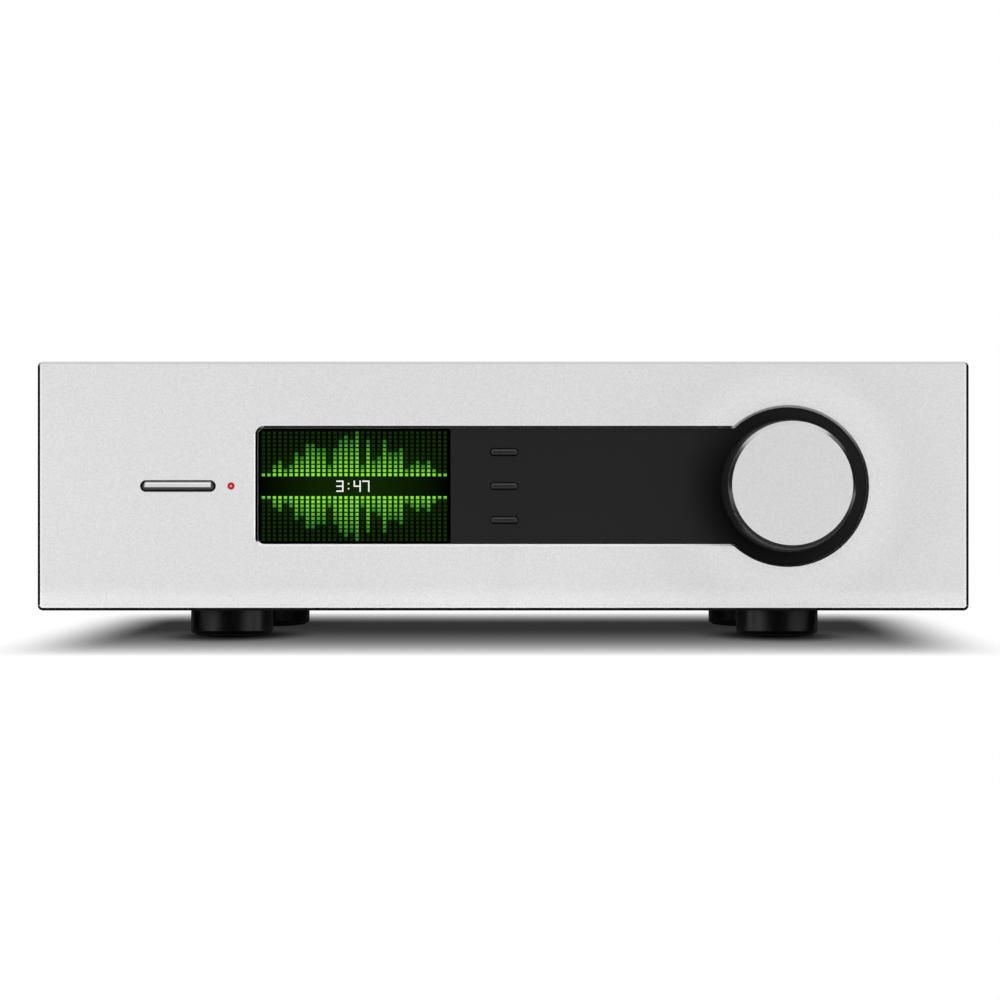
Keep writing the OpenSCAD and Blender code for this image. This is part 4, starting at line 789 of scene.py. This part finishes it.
def antennaSockets(look):
    places = [facing("+y", x, rearFace, look["z"]) for x in look["x"]]
    r, low = look["r"], look["r"] - look["threadDeep"]
    tailLow, tailHigh = look["tail"]
    profile = [(look["tailR"], tailLow), (look["tailR"], tailHigh), (r, tailHigh), (r, look["thread"])]
    for i in range(look["turns"]):
        h = look["thread"] + i * look["pitch"]
        profile += [(radius, h + stop) for radius, stop in zip((low, low, r, r), look["threadStops"])]
    profile += [(r - look["lip"], look["reach"]), (look["boreR"], look["reach"]),
                (look["boreR"], look["boreFrom"])]
    barrel = lathe("antennaBarrel", profile)
    pin = lathe("antennaPin", look["pin"], look["pinSides"])
    nut = lathe("antennaNut", look["nut"], look["nutSides"])
    core = lathe("antennaCore", look["core"], look["coreSides"])
    metal = [(barrel, places), (pin, places), (nut, places)]
    setOut("antennaBarrels", metal, plain["goldPlate"], "case", ["antenna_sockets"])
    setOut("antennaCores", [(core, places)], satin("coreWhite", coreLook), "case")


antennaSockets(antennaLook)

# Ethernet contacts: eight sprung strips under the roof of the well
contactLook = {"x": 116.3, "y": 171.5, "z": 37.9, "count": 8, "pitch": 1.02,
               "wide": 0.5, "thick": 0.2, "flat": 1.5, "spring": (8.0, -2.2), "tip": (0.9, 0.5)}


def ethernetContacts(look):
    clearSelection()
    bpy.ops.mesh.primitive_cube_add(size=1)
    strip = bpy.context.object
    editAll()
    bpy.ops.transform.resize(value=(look["wide"] * mm, look["flat"] * mm, look["thick"] * mm))
    bpy.ops.object.mode_set(mode="OBJECT")
    for face in strip.data.polygons:
        face.select = face.normal.y > 0.9  # the end that is drawn out
    bpy.ops.object.mode_set(mode="EDIT")
    bpy.ops.mesh.select_mode(type="FACE")
    for along, up in (look["spring"], look["tip"]):
        bpy.ops.mesh.extrude_region_move(TRANSFORM_OT_translate={"value": (0, along * mm, up * mm)})
    closeEdit()
    places = []
    for i in range(look["count"]):
        x = look["x"] + (i - (look["count"] - 1) / 2) * look["pitch"]
        places.append(Matrix.Translation((x * mm, look["y"] * mm, look["z"] * mm)))
    setOut("ethernetContacts", [(strip, places)], plain["goldPlate"])


ethernetContacts(contactLook)
print("screws, antenna sockets and contacts modelled")

# Studio: white surround, pale floor with the soft shadow, dark cards for the metal to mirror
floorLook = {"size": 30.0, "albedo": 0.9, "dark": 0.034, "front": (0.0465, 0.447), "soft": (0.3, 1.5),
             "steep": (0.7, 5.0), "back": (0.1965, 0.35, 1.9), "flare": 0.33, "flareLeast": 0.5,
             "ends": (0.1845, 0.2425)}
contactShade = {"front": 0.11, "rear": 0.8, "behind": 0.03, "stretch": 3.4, "reach": (0.014, 0.041)}
worldLook = {"fill": 0.82}


def seenDirectly(finish):
    path = finish.node("LightPath", out="Is Camera Ray")
    rays = path.out.node.outputs
    return path.most(Value(finish, rays["Is Glossy Ray"])).most(Value(finish, rays["Is Transmission Ray"]))


def studioFloor(look, shade):
    clearSelection()
    bpy.ops.mesh.primitive_plane_add(size=look["size"])
    floor = bpy.context.object
    floor.name = "floor"
    finish = Finish("paleFloor")
    _, (x, y, _) = finish.place()
    ahead = ((look["front"][0] - y) / look["front"][1]).most(0.0)
    behind = ((y - look["back"][0]) / look["back"][1]).most(0.0)
    level = look["soft"][0] * ahead ** look["soft"][1] + look["steep"][0] * ahead ** look["steep"][1]
    level = look["dark"] + (1 - look["dark"]) * (level + behind ** look["back"][2]).least(1.0)
    ends = (abs(x) / (1 + look["flare"] * y).most(look["flareLeast"])).ease(*look["ends"])
    level = level + (1 - level) * ends
    for name in footNodes:
        foot = centre(name)
        away = distance(x - foot.x, (y - foot.y - shade["behind"]) / shade["stretch"])
        dark = shade["front" if foot.y < 0 else "rear"]
        level = level * (dark + (1 - dark) * away.ease(*shade["reach"]))
    glow = finish.node("Emission", sockets={"Color": finish.color(level, level, level), "Strength": 1.0})
    matte = finish.node("BsdfDiffuse", sockets={"Color": grey(look["albedo"])})
    finish.finishWith(finish.node("MixShader", sockets={0: seenDirectly(finish), 1: matte, 2: glow}))
    floor.data.materials.append(finish.owner)


def studioWorld(look):
    world = bpy.data.worlds.new("studio")
    bpy.context.scene.world = world
    finish = Finish("studio", world)
    tone = finish.mix(seenDirectly(finish), grey(look["fill"]), grey(1.0))
    sky = finish.node("Background", sockets={"Color": tone, "Strength": 1.0})
    finish.finishWith(sky, "OutputWorld")


# Cards stand where a photographer would put them, and only gloss sees them
cardTurns = {"flat": (0, 0, 0), "across": (90, 0, 0), "along": (90, 0, 90)}
cards = {
    "frontCard": {"at": (0.0, -2.0, 0.3), "turn": "across", "size": (2.2, 1.0), "tone": 0.1},
    "leftCard": {"at": (-1.3, 0.565, 0.3), "turn": "along", "size": (1.37, 0.7), "tone": 0.004},
    "leftFrontCard": {"at": (-1.3, -0.335, 0.3), "turn": "along", "size": (0.43, 0.7), "tone": 0.1},
    "leftHighCard": {"at": (-1.3, 0.35, 1.0), "turn": "along", "size": (1.8, 0.7), "tone": 0.3},
    "rightCard": {"at": (1.3, 0.35, 0.4), "turn": "along", "size": (1.8, 0.9), "tone": 0.012},
    "rightHighCard": {"at": (1.3, 0.35, 1.2), "turn": "along", "size": (1.8, 0.7), "tone": 0.2},
    "leftFloorCard": {"at": (-0.78, 0.3225, 0.002), "turn": "flat", "size": (1.24, 0.905), "tone": 0.01},
    "rightFloorCard": {"at": (0.78, 0.3225, 0.002), "turn": "flat", "size": (1.24, 0.905), "tone": 0.01},
    "chamferCard": {"at": (0.0, -0.164, 0.003), "turn": "flat", "size": (1.8, 0.024), "tone": 0.01},
    "skirtCard": {"at": (0.0, -0.376, 0.013), "turn": "flat", "size": (1.4, 0.408), "tone": 1.2,
                  "oneSided": 1.0},
    "leftKickCard": {"at": (-0.1305, -0.25, 0.006), "turn": "across", "size": (0.15, 0.012), "tone": 0.005},
    "rightKickCard": {"at": (0.1305, -0.25, 0.006), "turn": "across", "size": (0.15, 0.012), "tone": 0.005},
    "footGlowCard": {"at": (0.0, -0.218, 0.006), "turn": "along", "size": (0.084, 0.012), "tone": 3.0},
    "innerGlowCard": {"at": (0.0, -0.1375, 0.006), "turn": "along", "size": (0.035, 0.012), "tone": 3.0},
    "backCard": {"at": (0.0, 0.4, 0.03), "turn": "across", "size": (1.0, 0.06), "tone": 0.01},
}


def studioCards():
    for name, card in cards.items():
        clearSelection()
        turn = [math.radians(angle) for angle in cardTurns[card["turn"]]]
        bpy.ops.mesh.primitive_plane_add(size=1.0, location=card["at"], rotation=turn)
        plane = bpy.context.object
        plane.name = name
        plane.scale = (*card["size"], 1.0)
        finish = Finish(name)
        lit = finish.node("Emission", sockets={"Color": grey(card["tone"]), "Strength": 1.0})
        clear = finish.node("BsdfTransparent")
        behind = finish.node("NewGeometry", out="Backfacing") * card.get("oneSided", 0.0)
        finish.finishWith(finish.node("MixShader", sockets={0: behind, 1: lit, 2: clear}))
        plane.data.materials.append(finish.owner)
        plane.visible_camera = False
        plane.visible_diffuse = False
        plane.visible_shadow = False
        plane.visible_transmission = False


lamps = {
    "topBox": {"at": (0.25, -0.9, 1.6), "to": (0.0, -0.1, 0.07), "size": (1.8, 1.2), "power": 3.5},
    "leftBox": {"at": (-1.25, -1.0, 0.5), "to": (0.0, -0.15, 0.07), "size": (0.7, 1.0), "power": 3.5},
    "rearBox": {"at": (-0.4, 1.7, 1.1), "to": (0.0, 0.1, 0.07), "size": (1.6, 1.0), "power": 12.0},
    "rightBox": {"at": (1.35, -0.9, 0.5), "to": (0.0, -0.15, 0.07), "size": (0.7, 1.0), "power": 2.0},
}


def studioLamps():
    for name, lamp in lamps.items():
        clearSelection()
        bpy.ops.object.light_add(type="AREA", location=lamp["at"])
        box = bpy.context.object
        box.name = name
        box.data.shape = "RECTANGLE"
        box.data.size, box.data.size_y = lamp["size"]
        box.data.energy = lamp["power"]
        box.rotation_euler = (Vector(lamp["to"]) - Vector(lamp["at"])).to_track_quat("-Z", "Y").to_euler()
        box.visible_camera = False


# Camera: straight on, low, with the frame shifted as in the photograph
cameraLook = {"distance": 1440.0, "across": 15.9, "height": 38.2, "frameWide": 461.5, "sensor": 36.0,
              "axisPixel": (537.6, 557.3), "imageSize": 1000.0, "farthest": 60.0}


def studioCamera(look):
    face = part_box("front_panel")[0].y
    place = (look["across"] * mm, face - look["distance"] * mm, look["height"] * mm)
    clearSelection()
    bpy.ops.object.camera_add(location=place, rotation=(math.pi / 2, 0, 0))
    camera = bpy.context.object
    camera.data.sensor_width = look["sensor"]
    camera.data.lens = look["sensor"] * look["distance"] / look["frameWide"]
    half = look["imageSize"] / 2
    camera.data.shift_x = (half - look["axisPixel"][0]) / look["imageSize"]
    camera.data.shift_y = (look["axisPixel"][1] - half) / look["imageSize"]
    camera.data.clip_end = look["farthest"]
    bpy.context.scene.camera = camera


studioFloor(floorLook, contactShade)
studioWorld(worldLook)
studioCards()
studioLamps()
studioCamera(cameraLook)
bpy.context.scene.view_settings.view_transform = "Standard"
print("studio set")
